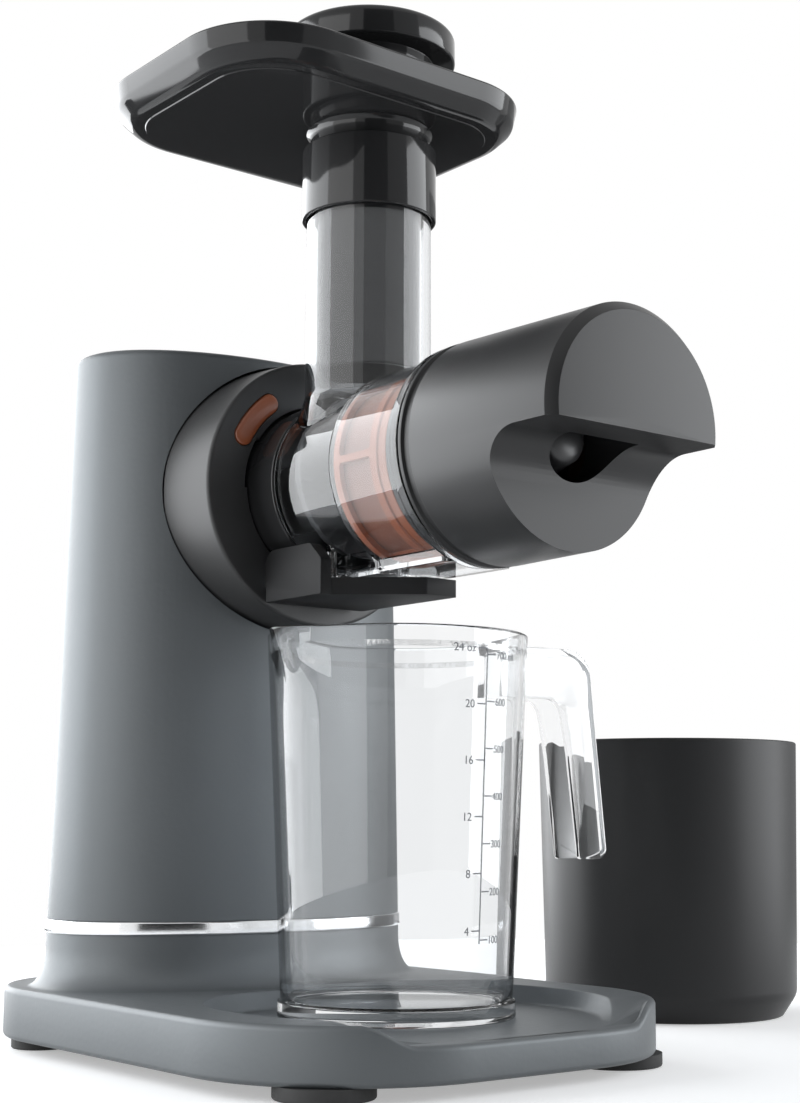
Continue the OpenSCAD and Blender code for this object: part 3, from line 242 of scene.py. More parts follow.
def eased(bm, width, segments=2, angle=38):
    """The mesh with its sharp edges broken by a small round."""
    bmesh.ops.remove_doubles(bm, verts=bm.verts, dist=WELD)
    bmesh.ops.dissolve_limit(bm, angle_limit=radians(0.5), verts=bm.verts, edges=bm.edges)
    obj = as_object(bm)
    bevel = obj.modifiers.new("ease", "BEVEL")
    bevel.width = width / 1000
    bevel.segments = segments
    bevel.limit_method = "ANGLE"
    bevel.angle_limit = radians(angle)
    bevel.use_clamp_overlap = True
    return settled(obj)


def piece(name, bm, finish, body, *stands_for, sharp=32):
    """Hands a mesh over as a piece: its finish, its shading, its body and the nodes it stands for."""
    bmesh.ops.remove_doubles(bm, verts=bm.verts, dist=WELD)
    bmesh.ops.dissolve_degenerate(bm, edges=bm.edges, dist=WELD)
    bmesh.ops.delete(bm, geom=[e for e in bm.edges if not e.link_faces], context="EDGES")
    bmesh.ops.holes_fill(bm, edges=[e for e in bm.edges if e.is_boundary], sides=4)
    obj = as_object(bm)
    obj.name = obj.data.name = name
    obj.data.shade_smooth()
    obj.data.set_sharp_from_angle(angle=radians(sharp))
    obj.data.materials.append(finish)
    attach(obj, body)
    if stands_for:
        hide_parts(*stands_for)
    return obj


# Shader helpers
def material(name):
    mat = bpy.data.materials.new(name)
    mat.use_nodes = True
    tree = mat.node_tree
    tree.nodes.clear()
    out = tree.nodes.new("ShaderNodeOutputMaterial")
    bsdf = tree.nodes.new("ShaderNodeBsdfPrincipled")
    tree.links.new(bsdf.outputs[0], out.inputs[0])
    return mat, tree, bsdf


def group_node(tree, group, **values):
    node = tree.nodes.new("ShaderNodeGroup")
    node.node_tree = group
    for key, value in values.items():
        node.inputs[key.replace("_", " ").title()].default_value = value
    return node


def new_group(name, inputs, outputs):
    tree = bpy.data.node_groups.new(name, "ShaderNodeTree")
    for label, kind, value in inputs:
        socket = tree.interface.new_socket(name=label, in_out="INPUT", socket_type=kind)
        socket.default_value = value
    for label, kind in outputs:
        tree.interface.new_socket(name=label, in_out="OUTPUT", socket_type=kind)
    return tree, tree.nodes.new("NodeGroupInput"), tree.nodes.new("NodeGroupOutput")


def math_node(tree, operation, a, b=None, clamp=False):
    node = tree.nodes.new("ShaderNodeMath")
    node.operation = operation
    node.use_clamp = clamp
    for i, v in enumerate((a, b)):
        if v is None:
            continue
        if isinstance(v, (int, float)):
            node.inputs[i].default_value = v
        else:
            tree.links.new(v, node.inputs[i])
    return node.outputs[0]


def moulded_grain_group():
    """Colour, roughness and height of a moulded plastic skin: fine cells and slow clouding."""
    tree, gin, gout = new_group("moulded grain", [
        ("Colour", "NodeSocketColor", (0.5, 0.5, 0.5, 1)), ("Cell Size", "NodeSocketFloat", 0.001),
        ("Clouding", "NodeSocketFloat", 0.05), ("Roughness", "NodeSocketFloat", 0.5),
        ("Roughness Spread", "NodeSocketFloat", 0.06)],
        [("Colour", "NodeSocketColor"), ("Roughness", "NodeSocketFloat"), ("Height", "NodeSocketFloat")])
    link = tree.links.new
    place = tree.nodes.new("ShaderNodeTexCoord")
    scale = math_node(tree, "DIVIDE", 1.0, gin.outputs["Cell Size"])
    cells = tree.nodes.new("ShaderNodeTexVoronoi")
    cells.feature = "SMOOTH_F1"
    link(place.outputs["Object"], cells.inputs["Vector"])
    link(scale, cells.inputs["Scale"])
    pores = tree.nodes.new("ShaderNodeTexNoise")
    pores.inputs["Detail"].default_value = 3
    link(place.outputs["Object"], pores.inputs["Vector"])
    link(math_node(tree, "MULTIPLY", scale, 0.7), pores.inputs["Scale"])
    clouds = tree.nodes.new("ShaderNodeTexNoise")
    clouds.inputs["Scale"].default_value = 35
    clouds.inputs["Detail"].default_value = 2
    link(place.outputs["Object"], clouds.inputs["Vector"])
    height = math_node(tree, "ADD", math_node(tree, "MULTIPLY", cells.outputs["Distance"], 0.6),
                       math_node(tree, "MULTIPLY", pores.outputs["Fac"], 0.5))
    link(height, gout.inputs["Height"])
    swing = math_node(tree, "SUBTRACT", clouds.outputs["Fac"], 0.5)
    swing = math_node(tree, "MULTIPLY", swing, gin.outputs["Clouding"])
    shade = math_node(tree, "ADD", swing, 1.0)
    mix = tree.nodes.new("ShaderNodeVectorMath")
    mix.operation = "SCALE"
    link(gin.outputs["Colour"], mix.inputs[0])
    link(shade, mix.inputs["Scale"])
    link(mix.outputs[0], gout.inputs["Colour"])
    spread = math_node(tree, "SUBTRACT", pores.outputs["Fac"], 0.5)
    spread = math_node(tree, "MULTIPLY", spread, gin.outputs["Roughness Spread"])
    link(math_node(tree, "ADD", spread, gin.outputs["Roughness"], clamp=True), gout.inputs["Roughness"])
    return tree


def brushed_group():
    """Colour and roughness of turned or rolled metal with fine lines."""
    tree, gin, gout = new_group("brushed lines", [
        ("Colour", "NodeSocketColor", (0.6, 0.6, 0.6, 1)), ("Roughness", "NodeSocketFloat", 0.3),
        ("Line Size", "NodeSocketFloat", 0.0005)],
        [("Colour", "NodeSocketColor"), ("Roughness", "NodeSocketFloat"), ("Height", "NodeSocketFloat")])
    link = tree.links.new
    place = tree.nodes.new("ShaderNodeTexCoord")
    stretch = tree.nodes.new("ShaderNodeMapping")
    stretch.inputs["Scale"].default_value = (1.0, 0.06, 1.0)
    link(place.outputs["Object"], stretch.inputs["Vector"])
    lines = tree.nodes.new("ShaderNodeTexNoise")
    lines.inputs["Detail"].default_value = 4
    link(stretch.outputs["Vector"], lines.inputs["Vector"])
    link(math_node(tree, "DIVIDE", 1.0, gin.outputs["Line Size"]), lines.inputs["Scale"])
    shade = math_node(tree, "ADD", math_node(tree, "MULTIPLY", lines.outputs["Fac"], 0.16), 0.92)
    mix = tree.nodes.new("ShaderNodeVectorMath")
    mix.operation = "SCALE"
    link(gin.outputs["Colour"], mix.inputs[0])
    link(shade, mix.inputs["Scale"])
    link(mix.outputs[0], gout.inputs["Colour"])
    rough = math_node(tree, "MULTIPLY", lines.outputs["Fac"], 0.15)
    rough = math_node(tree, "ADD", rough, gin.outputs["Roughness"])
    link(rough, gout.inputs["Roughness"])
    link(lines.outputs["Fac"], gout.inputs["Height"])
    return tree


GRAIN = moulded_grain_group()
BRUSHED = brushed_group()


def bump(tree, bsdf, height, strength, distance):
    node = tree.nodes.new("ShaderNodeBump")
    node.inputs["Strength"].default_value = strength
    node.inputs["Distance"].default_value = distance
    tree.links.new(height, node.inputs["Height"])
    tree.links.new(node.outputs[0], bsdf.inputs["Normal"])


def moulded(name, colour, rough, cell=0.0009, height=0.00005, strength=0.35, clouding=0.06, coat=0.0,
            spread=0.06, specular=0.5, metallic=0.0):
    mat, tree, bsdf = material(name)
    skin = group_node(tree, GRAIN, colour=(*colour, 1), cell_size=cell, clouding=clouding, roughness=rough,
                      roughness_spread=spread)
    tree.links.new(skin.outputs["Colour"], bsdf.inputs["Base Color"])
    tree.links.new(skin.outputs["Roughness"], bsdf.inputs["Roughness"])
    bsdf.inputs["Specular IOR Level"].default_value = specular
    bsdf.inputs["Metallic"].default_value = metallic
    bsdf.inputs["Coat Weight"].default_value = coat
    bsdf.inputs["Coat Roughness"].default_value = 0.12
    bump(tree, bsdf, skin.outputs["Height"], strength, height)
    return mat


def metal(name, colour, rough, line=0.0005):
    mat, tree, bsdf = material(name)
    skin = group_node(tree, BRUSHED, colour=(*colour, 1), roughness=rough, line_size=line)
    tree.links.new(skin.outputs["Colour"], bsdf.inputs["Base Color"])
    tree.links.new(skin.outputs["Roughness"], bsdf.inputs["Roughness"])
    bsdf.inputs["Metallic"].default_value = 1.0
    bump(tree, bsdf, skin.outputs["Height"], 0.15, 0.00002)
    return mat


def clear_plastic(name, colour, rough, shadow=(0.86, 0.87, 0.88, 1)):
    """Clear plastic that lets most of the light through to what stands behind it."""
    mat, tree, bsdf = material(name)
    link = tree.links.new
    skin = group_node(tree, GRAIN, colour=(*colour, 1), cell_size=0.02, clouding=0.02, roughness=rough,
                      roughness_spread=0.02)
    link(skin.outputs["Colour"], bsdf.inputs["Base Color"])
    link(skin.outputs["Roughness"], bsdf.inputs["Roughness"])
    bsdf.inputs["Transmission Weight"].default_value = 1.0
    bsdf.inputs["IOR"].default_value = 1.45
    bump(tree, bsdf, skin.outputs["Height"], 0.03, 0.0001)
    path = tree.nodes.new("ShaderNodeLightPath")
    through = tree.nodes.new("ShaderNodeBsdfTransparent")
    through.inputs["Color"].default_value = shadow
    mix = tree.nodes.new("ShaderNodeMixShader")
    out = next(n for n in tree.nodes if n.type == "OUTPUT_MATERIAL")
    link(path.outputs["Is Shadow Ray"], mix.inputs[0])
    link(bsdf.outputs[0], mix.inputs[1])
    link(through.outputs[0], mix.inputs[2])
    link(mix.outputs[0], out.inputs[0])
    return mat


looks = {
    "tower_grey": moulded("tower grey", (0.132, 0.142, 0.148), 0.46, cell=0.0016, height=0.00012,
                          strength=0.35, clouding=0.08, specular=0.2, metallic=0.35),
    # painted light: the drum's black is partly its own colour and partly lifted above the other blacks, so
    # that its self-shadowed face renders lighter
    "drum_black": moulded("drum black lifted for shade", (0.034, 0.034, 0.0345), 0.42, cell=0.0006, height=0.00002,
                          strength=0.2, clouding=0.05, specular=0.35),
    "cap_black": moulded("cap black", (0.026, 0.026, 0.0265), 0.36, cell=0.0006, height=0.00002,
                         strength=0.2, clouding=0.05, specular=0.24),
    "gate_black": moulded("gate black", (0.013, 0.013, 0.0135), 0.55, cell=0.0006, height=0.00002,
                          strength=0.2, clouding=0.05, specular=0.12),
    "black_gloss": moulded("gloss black", (0.024, 0.024, 0.0245), 0.08, cell=0.004, height=0.00001,
                           strength=0.1, clouding=0.04, spread=0.02, specular=0.3),
    "black_satin": moulded("satin black", (0.016, 0.016, 0.0165), 0.30, cell=0.0006, height=0.00002,
                           strength=0.2, clouding=0.05),
    "container_black": moulded("container black", (0.030, 0.030, 0.0305), 0.4, cell=0.0008, height=0.00002,
                               strength=0.2, specular=0.2),
    "black_matte": moulded("matte black", (0.022, 0.022, 0.023), 0.5, cell=0.0007, height=0.00005,
                           strength=0.3),
    "auger_black": moulded("auger black", (0.038, 0.038, 0.039), 0.36, cell=0.0009, height=0.00003,
                           strength=0.2),
    "clear": clear_plastic("clear plastic", (0.93, 0.945, 0.96), 0.02),
    "clear_jug": clear_plastic("clear jug", (0.935, 0.942, 0.948), 0.01),
    "print": moulded("scale print", (0.13, 0.14, 0.15), 0.5, cell=0.0008, height=0.00001, strength=0.1),
    "copper_orange": moulded("copper plastic", (0.30, 0.080, 0.028), 0.34, cell=0.0006, height=0.00003,
                             strength=0.2, coat=0.2),
    "screen": moulded("screen copper", (0.19, 0.062, 0.032), 0.45, cell=0.0005, height=0.00006,
                      strength=0.6),
    "chrome": metal("bright plating", (0.82, 0.83, 0.84), 0.06),
    "rubber": moulded("foot rubber", (0.02, 0.02, 0.02), 0.75, cell=0.0012, height=0.0001, strength=0.4),
    "silicone": moulded("grey silicone", (0.35, 0.36, 0.37), 0.45),
    "steel": metal("turned steel", (0.55, 0.55, 0.56), 0.25),
    "gear_steel": metal("sintered steel", (0.40, 0.39, 0.37), 0.42, line=0.0002),
    "zinc": metal("die cast zinc", (0.52, 0.53, 0.55), 0.45, line=0.001),
    "bronze": metal("sintered bronze", (0.60, 0.42, 0.20), 0.35),
    "board_green": moulded("lacquered board", (0.02, 0.16, 0.07), 0.3),
}
slot_looks = {**looks, "black_gloss": looks["black_satin"]}


# The tower, its bright band and its panel
def oval(spread, z, steps=160):
    grow = 0.02 * (TOWER_TOP - z) + spread
    a, b, power = 41.1 + grow, 70.9 + grow, 2 / 2.05
    ring = []
    for i in range(steps):
        c, s = cos(2 * pi * i / steps), sin(2 * pi * i / steps)
        ring.append((TOWER_X + a * copysign(abs(c) ** power, c), b * copysign(abs(s) ** power, s), z))
    return ring


def oval_piece(path):
    """A ring round the tower from a closed path of spread and height."""
    return skinned([oval(s, z) for s, z in path], closed=True)


def tower_shell():
    wall, ledge, top_edge = 2.6, 9.0, 3.0
    foot = BAND_Z + BAND_H
    path = rounded([(0, foot, 0.4), (0, TOWER_TOP, top_edge), (-ledge, TOWER_TOP, 0.6),
                    (-ledge, TOWER_TOP - 3, 0), (-ledge - 3, TOWER_TOP - 3, 0),
                    (-ledge - 3, TOWER_TOP - 3.3, 0), (-wall, TOWER_TOP - 7, 0), (-wall, foot, 0)])
    hole = spun([(0, -60), (DRUM_R + DRUM_FLARE + 0.4, -60), (DRUM_R + DRUM_FLARE + 0.4, -20), (0, -20)],
                closed=False)
    piece("tower_shell_skin", cut(oval_piece(path), hole), looks["tower_grey"], "base_unit", "tower_shell",
          sharp=40)


def chrome_band():
    proud, wall, top = 0.7, 2.6, BAND_Z + BAND_H
    path = rounded([(proud, BAND_Z, 0.8), (proud, top, 0.8), (-wall, top, 0), (-wall, BAND_Z, 0)])
    piece("bright_band", oval_piece(path), looks["chrome"], "base_unit", "chrome_band")


def top_panel():
    edge = 9.3
    path = rounded([(-edge - 20, TOWER_TOP - 2.9, 0), (-edge, TOWER_TOP - 2.9, 0),
                    (-edge, TOWER_TOP - 0.4, 0.6), (-edge - 20, TOWER_TOP - 0.4, 0)], closed=False)
    plate = skinned([oval(s, z) for s, z in path])
    holes = [spun([(0, 240), (9.3, 240), (9.3, 270), (0, 270)], about_upright(TOWER_X, y),
                  closed=False) for y in (-22, 22)]
    piece("top_panel_plate", cut(plate, *holes), looks["black_satin"], "base_unit", "top_panel")


def push_button(name, y):
    top = TOWER_TOP + 1.5
    profile = rounded([(0, top - 0.9, 0), (5, top - 0.7, 3), (8.3, top, 0.7), (9, top - 1.2, 0.6),
                       (9, top - 6, 0), (0, top - 6, 0)], closed=False)
    cap = spun(profile, about_upright(TOWER_X, y), closed=False, steps=72)
    piece(name + "_cap", cap, looks["black_matte"], name, name)


# The base with its rim, lowered lip, recess and the flare under the tower
def plate_ring(x0, x1, half, r_rear, r_front, inset, z, steps=40):
    corners = ((x1 - r_front, half - r_front, r_front, 0),
               (x0 + r_rear, half - r_rear, r_rear, 90),
               (x0 + r_rear, r_rear - half, r_rear, 180),
               (x1 - r_front, r_front - half, r_front, 270))
    ring = []
    for cx, cy, r, a in corners:
        for i in range(steps + 1):
            t = radians(a + 90 * i / steps)
            ring.append((cx + (r - inset) * cos(t), cy + (r - inset) * sin(t), z))
    return ring


def lip_share(x, y):
    """One where the rim is let down at the front, nought beside it."""
    t = min(max((LIP_HALF - abs(y)) / LIP_SLOPE, 0), 1) if x > 0 else 0
    return t * t * (3 - 2 * t)


def base_housing():
    rim, under, wall = RIM_TOP, 4.45, 4.0
    plate = (BASE_REAR, BASE_FRONT, BASE_HALF, BASE_R_REAR, BASE_R_FRONT)
    drop = rim - FLOOR_TOP
    path = rounded([(wall, under, 0), (0, under, 2.4), (0, rim, 2.4), (wall, rim, 0)], closed=False)
    rings = [plate_ring(*plate, wall, FLOOR_TOP - 3.2)]
    for inset, z in path:
        ring = plate_ring(*plate, inset, z)
        inward = 0.92 if inset == wall else 1
        low = drop if z > FLOOR_TOP else 0
        rings.append([(x, y, z - low * lip_share(x, y * inward)) for x, y, z in ring])
    recess = rounded([(-2.5, rim, 0), (-0.8, rim, 0.8), (0.6, FLOOR_TOP + 4, 6), (3, FLOOR_TOP, 2.2),
                      (8, FLOOR_TOP, 0)], closed=False)
    for inset, z in recess:
        ring = plate_ring(-30, 86.1, 69, 50, 58, inset, z)
        rings.append([(x, y, z - (z - FLOOR_TOP) * lip_share(x, y)) for x, y, z in ring])
    body = skinned(rings)
    spread, rise, flare = 8.0, 14.0, []
    for k in range(-1, 12):
        t = radians(90 * k / 10)
        s, z = spread * (1 - sin(t)), rim + rise * (1 - cos(t))
        if k < 0:
            s, z = spread, rim - 2
        elif k > 10:
            s, z = 0, BAND_Z
        ring = []
        for x, y, _ in oval(0, z):
            r = hypot(x - TOWER_X, y)
            ring.append((x + (x - TOWER_X) / r * s * 0.6 + 0.32 * s, y + y / r * s, z))
        flare.append(ring)
    piece("base_body", joined(body, skinned(flare)), looks["tower_grey"], "base_unit", "base_housing",
          sharp=35)


def feet():
    pads = None
    for x, y, r in ((62, 62, 16), (-102, 72, 11)):
        for side in (-1, 1):
            profile = rounded([(0, 0.8, 0), (r - 3.2, 0.8, 0), (r - 3.2, 0, 0.3), (r, 0, 0.8),
                               (r, 4.45, 0), (0, 4.45, 0)], closed=False, steps=3)
            pad = spun(profile, about_upright(x, side * y), closed=False, steps=64)
            if pads is None:
                pads = pad
            else:
                mesh = bpy.data.meshes.new("work")
                pad.to_mesh(mesh)
                pads.from_mesh(mesh)
                bpy.data.meshes.remove(mesh)
    piece("foot_pads", pads, looks["rubber"], "base_unit", "feet")


# The drum on the tower's side, with the release button and the locking ring
def band_outline(grow, mid_r=39.8, width=7.3, start=122, end=158, steps=16):
    """A curved slot's outline about the auger axis, as y and z."""
    inner, outer = mid_r - width / 2 - grow, mid_r + width / 2 + grow
    tip = degrees(width / 2 / mid_r)
    a0, a1, half, points = radians(start + tip), radians(end - tip), (outer - inner) / 2, []
    for i in range(steps + 1):
        a = a0 + (a1 - a0) * i / steps
        points.append((outer * cos(a), outer * sin(a)))
    for i in range(1, steps):
        b = a1 + pi * i / steps
        points.append((mid_r * cos(a1) + half * cos(b), mid_r * sin(a1) + half * sin(b)))
    for i in range(steps + 1):
        a = a1 + (a0 - a1) * i / steps
        points.append((inner * cos(a), inner * sin(a)))
    for i in range(1, steps):
        b = a0 + pi + pi * i / steps
        points.append((mid_r * cos(a0) + half * cos(b), mid_r * sin(a0) + half * sin(b)))
    return [(y, z + AXIS_Z) for y, z in points]


def wedge(r0, r1, x0, x1, start, end, steps=12):
    """A block between two radii about the auger axis, from one angle to another."""
    def arc(r, a, b):
        turns = [radians(a + (b - a) * i / steps) for i in range(steps + 1)]
        return [(r * cos(t), AXIS_Z + r * sin(t)) for t in turns]

    return prism(arc(r1, start, end) + arc(r0, end, start), along_x, x0, x1)


def drum_housing():
    back, lip = -57.0, 0.5
    profile = rounded([(DRUM_R + DRUM_FLARE, back, 0), (DRUM_R, DRUM_FACE, 1.6), (33.2, DRUM_FACE, lip),
                       (33.2, SOCKET_FLOOR, 0), (9, SOCKET_FLOOR, 0), (9, SOCKET_FLOOR - 2, 0),
                       (34.9, SOCKET_FLOOR - 2, 0), (34.9, DRUM_FACE - 3, 0),
                       (DRUM_R - 2.4, DRUM_FACE - 3, 0), (DRUM_R + DRUM_FLARE - 2.4, back, 0)])
    slot = prism(band_outline(0.4), along_x, DRUM_FACE - 5, DRUM_FACE + 2)
    keyways = [wedge(32, 34.5, SOCKET_FLOOR + 2, DRUM_FACE + 2, a - 17, a + 17) for a in (45, 165, 285)]
    piece("drum", cut(spun(profile), slot, *keyways), looks["drum_black"], "base_unit", "drum_housing",
          sharp=40)


def release_button():
    rings = [(0, DRUM_FACE - 6), (0, DRUM_FACE + 0.3)]
    rings += [(-3.3 * (1 - cos(t)), DRUM_FACE + 0.3 + 0.9 * sin(t))
              for t in (radians(15 * k) for k in range(1, 7))]
    cap = skinned([[(x, y, z) for y, z in band_outline(grow)] for grow, x in rings])
    piece("release_cap", cap, looks["copper_orange"], "release_button", "release_button", sharp=60)


def bayonet_ring():
    inner, outer, front = 30.6, 32.6, -14.05
    ring = spun(rounded([(inner, -44, 0.3), (outer, -44, 0.5), (outer, front, 0.5), (inner, front, 0.3)]))
    lugs = [wedge(31.5, 33.9, -45.7, -42.7, 90 + 120 * k - 13, 90 + 120 * k + 13) for k in range(3)]
    chute_gap = spun([(0, AXIS_Z), (24.9, AXIS_Z), (24.9, 260), (0, 260)], about_upright(0), closed=False)
    piece("locking_ring", cut(joined(ring, *lugs), chute_gap), looks["black_gloss"], "chamber",
          "bayonet_ring", sharp=40)


# The clear chamber with its chute, flange, trough, spout and legs
def juicing_chamber():
    start, ring_front, neck_in = -44.0, -14.0, 30.5
    bead_r, tail_r, foot_x, foot_end = 38.5, 35.6, 6, 26.9
    trough_z, duct_z, plate_z, plate_top = 168.5, 168.2, 164.7, 166.2
    outer = rounded([(0, start, 0), (neck_in, start, 0), (neck_in, ring_front, 0),
                     (NECK_R, ring_front, 0.3), (NECK_R, SHOULDER_X + 0.6, 2),
                     (SECTION_R, SHOULDER_X + 4, 2.2), (SECTION_R, CHAMBER_END - 4, 0.8),
                     (bead_r, CHAMBER_END - 4, 0.4), (bead_r, CHAMBER_END, 0.4),
                     (tail_r, CHAMBER_END, 0), (tail_r, CHAMBER_END + 6, 0.6),
                     (0, CHAMBER_END + 6, 0)], closed=False)
    chute = [(0, AXIS_Z, 0), (26.4, AXIS_Z, 0), (26.4, AXIS_Z + 22, 0), (CHUTE_R + 0.1, AXIS_Z + 31, 9),
             (CHUTE_R, CHUTE_TOP, 0.6), (0, CHUTE_TOP, 0)]
    solids = [spun(stepped(rounded(chute, closed=False)), about_upright(0), closed=False),
              box(-14, 26, -14, 14, duct_z, AXIS_Z, 2.0),
              box(24.6, CHAMBER_END - 3.5, -15, 15, trough_z, AXIS_Z - 18, 2.5),
              spun([(0, 165.5), (12.3, 165.5), (12.3, 169), (0, 169)], about_upright(foot_x),
                   closed=False, steps=72),
              prism(rounded([(-23.7, -21.9, 1), (4.4, -21.9, 1), (foot_end, 3.4, 2),
                             (foot_end, 17.5, 0.5), (-23.7, 17.5, 0.5)]), along_z, plate_z, plate_top),
              box(1.6, 4.6, -19.8, -16.8, 165.5, 186, 0.4),
              box(1.6, 4.6, 13.5, 16.5, 165.5, 186, 0.4)]
    bore = rounded([(0, start - 2, 0), (NECK_BORE, start - 2, 0), (NECK_BORE, SHOULDER_X + 3.4, 0.8),
                    (SECTION_BORE, SHOULDER_X + 4.2, 0.8), (SECTION_BORE, CHAMBER_END + 8, 0),
                    (0, CHAMBER_END + 8, 0)], closed=False)
    chute_bore = [(0, AXIS_Z), (CHUTE_BORE, AXIS_Z), (CHUTE_BORE, CHUTE_TOP + 2), (0, CHUTE_TOP + 2)]
    voids = [spun(stepped(bore), closed=False),
             spun(stepped(chute_bore), about_upright(0), closed=False),
             box(-12.2, 24.2, -12.2, 12.2, duct_z + 1.8, AXIS_Z - 20, 1.0),
             box(26.4, CHAMBER_END - 5.3, -13.2, 13.2, trough_z + 1.8, AXIS_Z - 20, 1.5),
             box(20, 30, -11.9, 11.9, trough_z + 2.1, AXIS_Z - 20),
             spun([(0, plate_top), (10.5, plate_top), (10.5, 171.5), (0, 171.5)],
                  about_upright(foot_x), closed=False, steps=72),
             spun([(0, 160), (6, 160), (6, 168), (0, 168)], about_upright(foot_x), closed=False,
                  steps=48)]
    shell = cut(joined(spun(stepped(outer), closed=False), *solids), *voids)
    piece("clear_chamber", shell, looks["clear"], "chamber", "juicing_chamber", sharp=28)


# The filter cage, its screen and the auger
def curved_window(x0, x1, a0, a1, r0, r1, corner=1.3):
    """A block through the cage's wall with rounded corners."""
    width = radians(a1 - a0) * FILTER_R
    outline = rounded([(x0, 0, corner), (x1, 0, corner), (x1, width, corner), (x0, width, corner)])
    dense = []
    for (u, v), (u2, v2) in zip(outline, outline[1:] + outline[:1]):
        steps = max(1, int(hypot(u2 - u, v2 - v) / 1.5))
        dense += [(u + (u2 - u) * k / steps, v + (v2 - v) * k / steps) for k in range(steps)]
    return skinned([[about_auger(r, radians(a0) + v / FILTER_R, u) for u, v in dense] for r in (r0, r1)])


def filter_frame():
    inner, ribs, rib = FILTER_R - 2.0, 5, 2.1
    ring = spun(rounded([(inner, FILTER_START, 0.2), (FILTER_R, FILTER_START, 0.4),
                         (FILTER_R, 49.4, 0.4), (FILTER_R - 0.7, 49.7, 0.3),
                         (FILTER_R - 0.7, FILTER_END, 0.4), (inner, FILTER_END, 0.2)]))
    starts = [180 + 360 * k / ribs for k in range(ribs)]
    windows = [curved_window(FILTER_START + 3.4, 46, a + rib, a + 360 / ribs - rib, inner - 1.5,
                             FILTER_R + 10) for a in starts]
    piece("filter_cage", cut(ring, *windows), looks["copper_orange"], "chamber", "filter_frame", sharp=40)


def filter_screen():
    outer = FILTER_R - 2.1
    ring = spun([(outer - 0.4, FILTER_START), (outer, FILTER_START), (outer, FILTER_END),
                 (outer - 0.4, FILTER_END)])
    piece("fine_screen", ring, looks["screen"], "chamber", "filter_screen", sharp=40)


def mix(a, b, t):
    return a + (b - a) * min(max(t, 0), 1)


def auger():
    start, flight_start, flight_mid, flight_end, nose_end, cone_end = -43.0, -18.0, 24.0, 62.0, 104.0, 98.0
    stretches = ((flight_start, flight_mid, 2.0), (flight_mid, flight_end, 3.0),
                 (flight_end, nose_end, 2.5))

    def turns(x):
        done = 0.0
        for x0, x1, n in stretches:
            if x <= x1:
                return done + n * (x - x0) / (x1 - x0)
            done += n
        return done

    def core(x):
        if x < flight_end:
            return mix(13.0, 19.5, (x - flight_start) / (flight_mid - flight_start))
        return mix(19.5, 9.0, (x - flight_end) / (nose_end - flight_end))

    def crest(x):
        u = turns(x)
        along = max(x - flight_end, 0) / (cone_end - flight_end)
        full = mix(FLIGHT_R, 8.0, along ** 0.8)
        return mix(core(x), max(full, core(x)), min(min(1, u * 3), (7.5 - u) * 2))

    count, steps, rings = 210, 132, []
    for i in range(count + 1):
        x = start + (nose_end - start) * i / count
        ring = []
        for k in range(steps):
            t = 2 * pi * k / steps
            r = core(x)
            if x > flight_start:
                gap = (t / (2 * pi) + 0.25 - turns(x) + 0.5) % 1 - 0.5
                share = min(max((0.15 - abs(gap)) / 0.07, 0), 1)
                r += (crest(x) - r) * share * share * (3 - 2 * share)
            ring.append(about_auger(r, t, x))
        rings.append(ring)
    for r, x in ((8.2, nose_end + 1.2), (6.2, nose_end + 2.3), (3.2, nose_end + 3.0)):
        rings.append([about_auger(r, 2 * pi * k / steps, x) for k in range(steps)])
    bore = prism([(6.95 * cos(pi * k / 3), AXIS_Z + 6.95 * sin(pi * k / 3)) for k in range(6)], along_x,
                 start - 1, start + 16)
    piece("auger_screw", cut(skinned(rings), bore), looks["auger_black"], "auger_drive", "auger", sharp=50)


# The drip stop under the spout
def drip_stop():
    low, high = GATE_LOW, GATE_HIGH
    outer = [(-26, -27, 1.2), (8.8, -27, 1.2), (8.8, -22.2, 0.8), (30.4, 3.4, 1.6), (30.4, 17.5, 1.2),
             (-26, 17.5, 1.2)]
    pocket = [(-24, -22.2, 0.5), (6.2, -22.2, 0.5), (28.4, 4.1, 0.5), (28.4, 20, 0), (-24, 20, 0)]
    mouth = [(-22.5, -20.7, 0.5), (4.2, -20.7, 0.5), (26.9, 6.2, 0.5), (26.9, 20, 0), (-22.5, 20, 0)]
    tray = cut(prism(rounded(outer), along_z, low, high), prism(rounded(pocket), along_z, low + 2.5, 166.5),
               prism(rounded(mouth), along_z, low + 3, high + 2))
    grip = prism(rounded([(8.8, low, 0.5), (8.8, 174.3, 1.5), (2, 180.5, 3), (-26, 180.5, 6),
                          (-26, low, 12.5)], steps=8), along_y, -27, -22.3)
    piece("drip_gate", eased(joined(tray, grip), 0.5), looks["gate_black"], "drip_stop", "drip_stop",
          sharp=40)


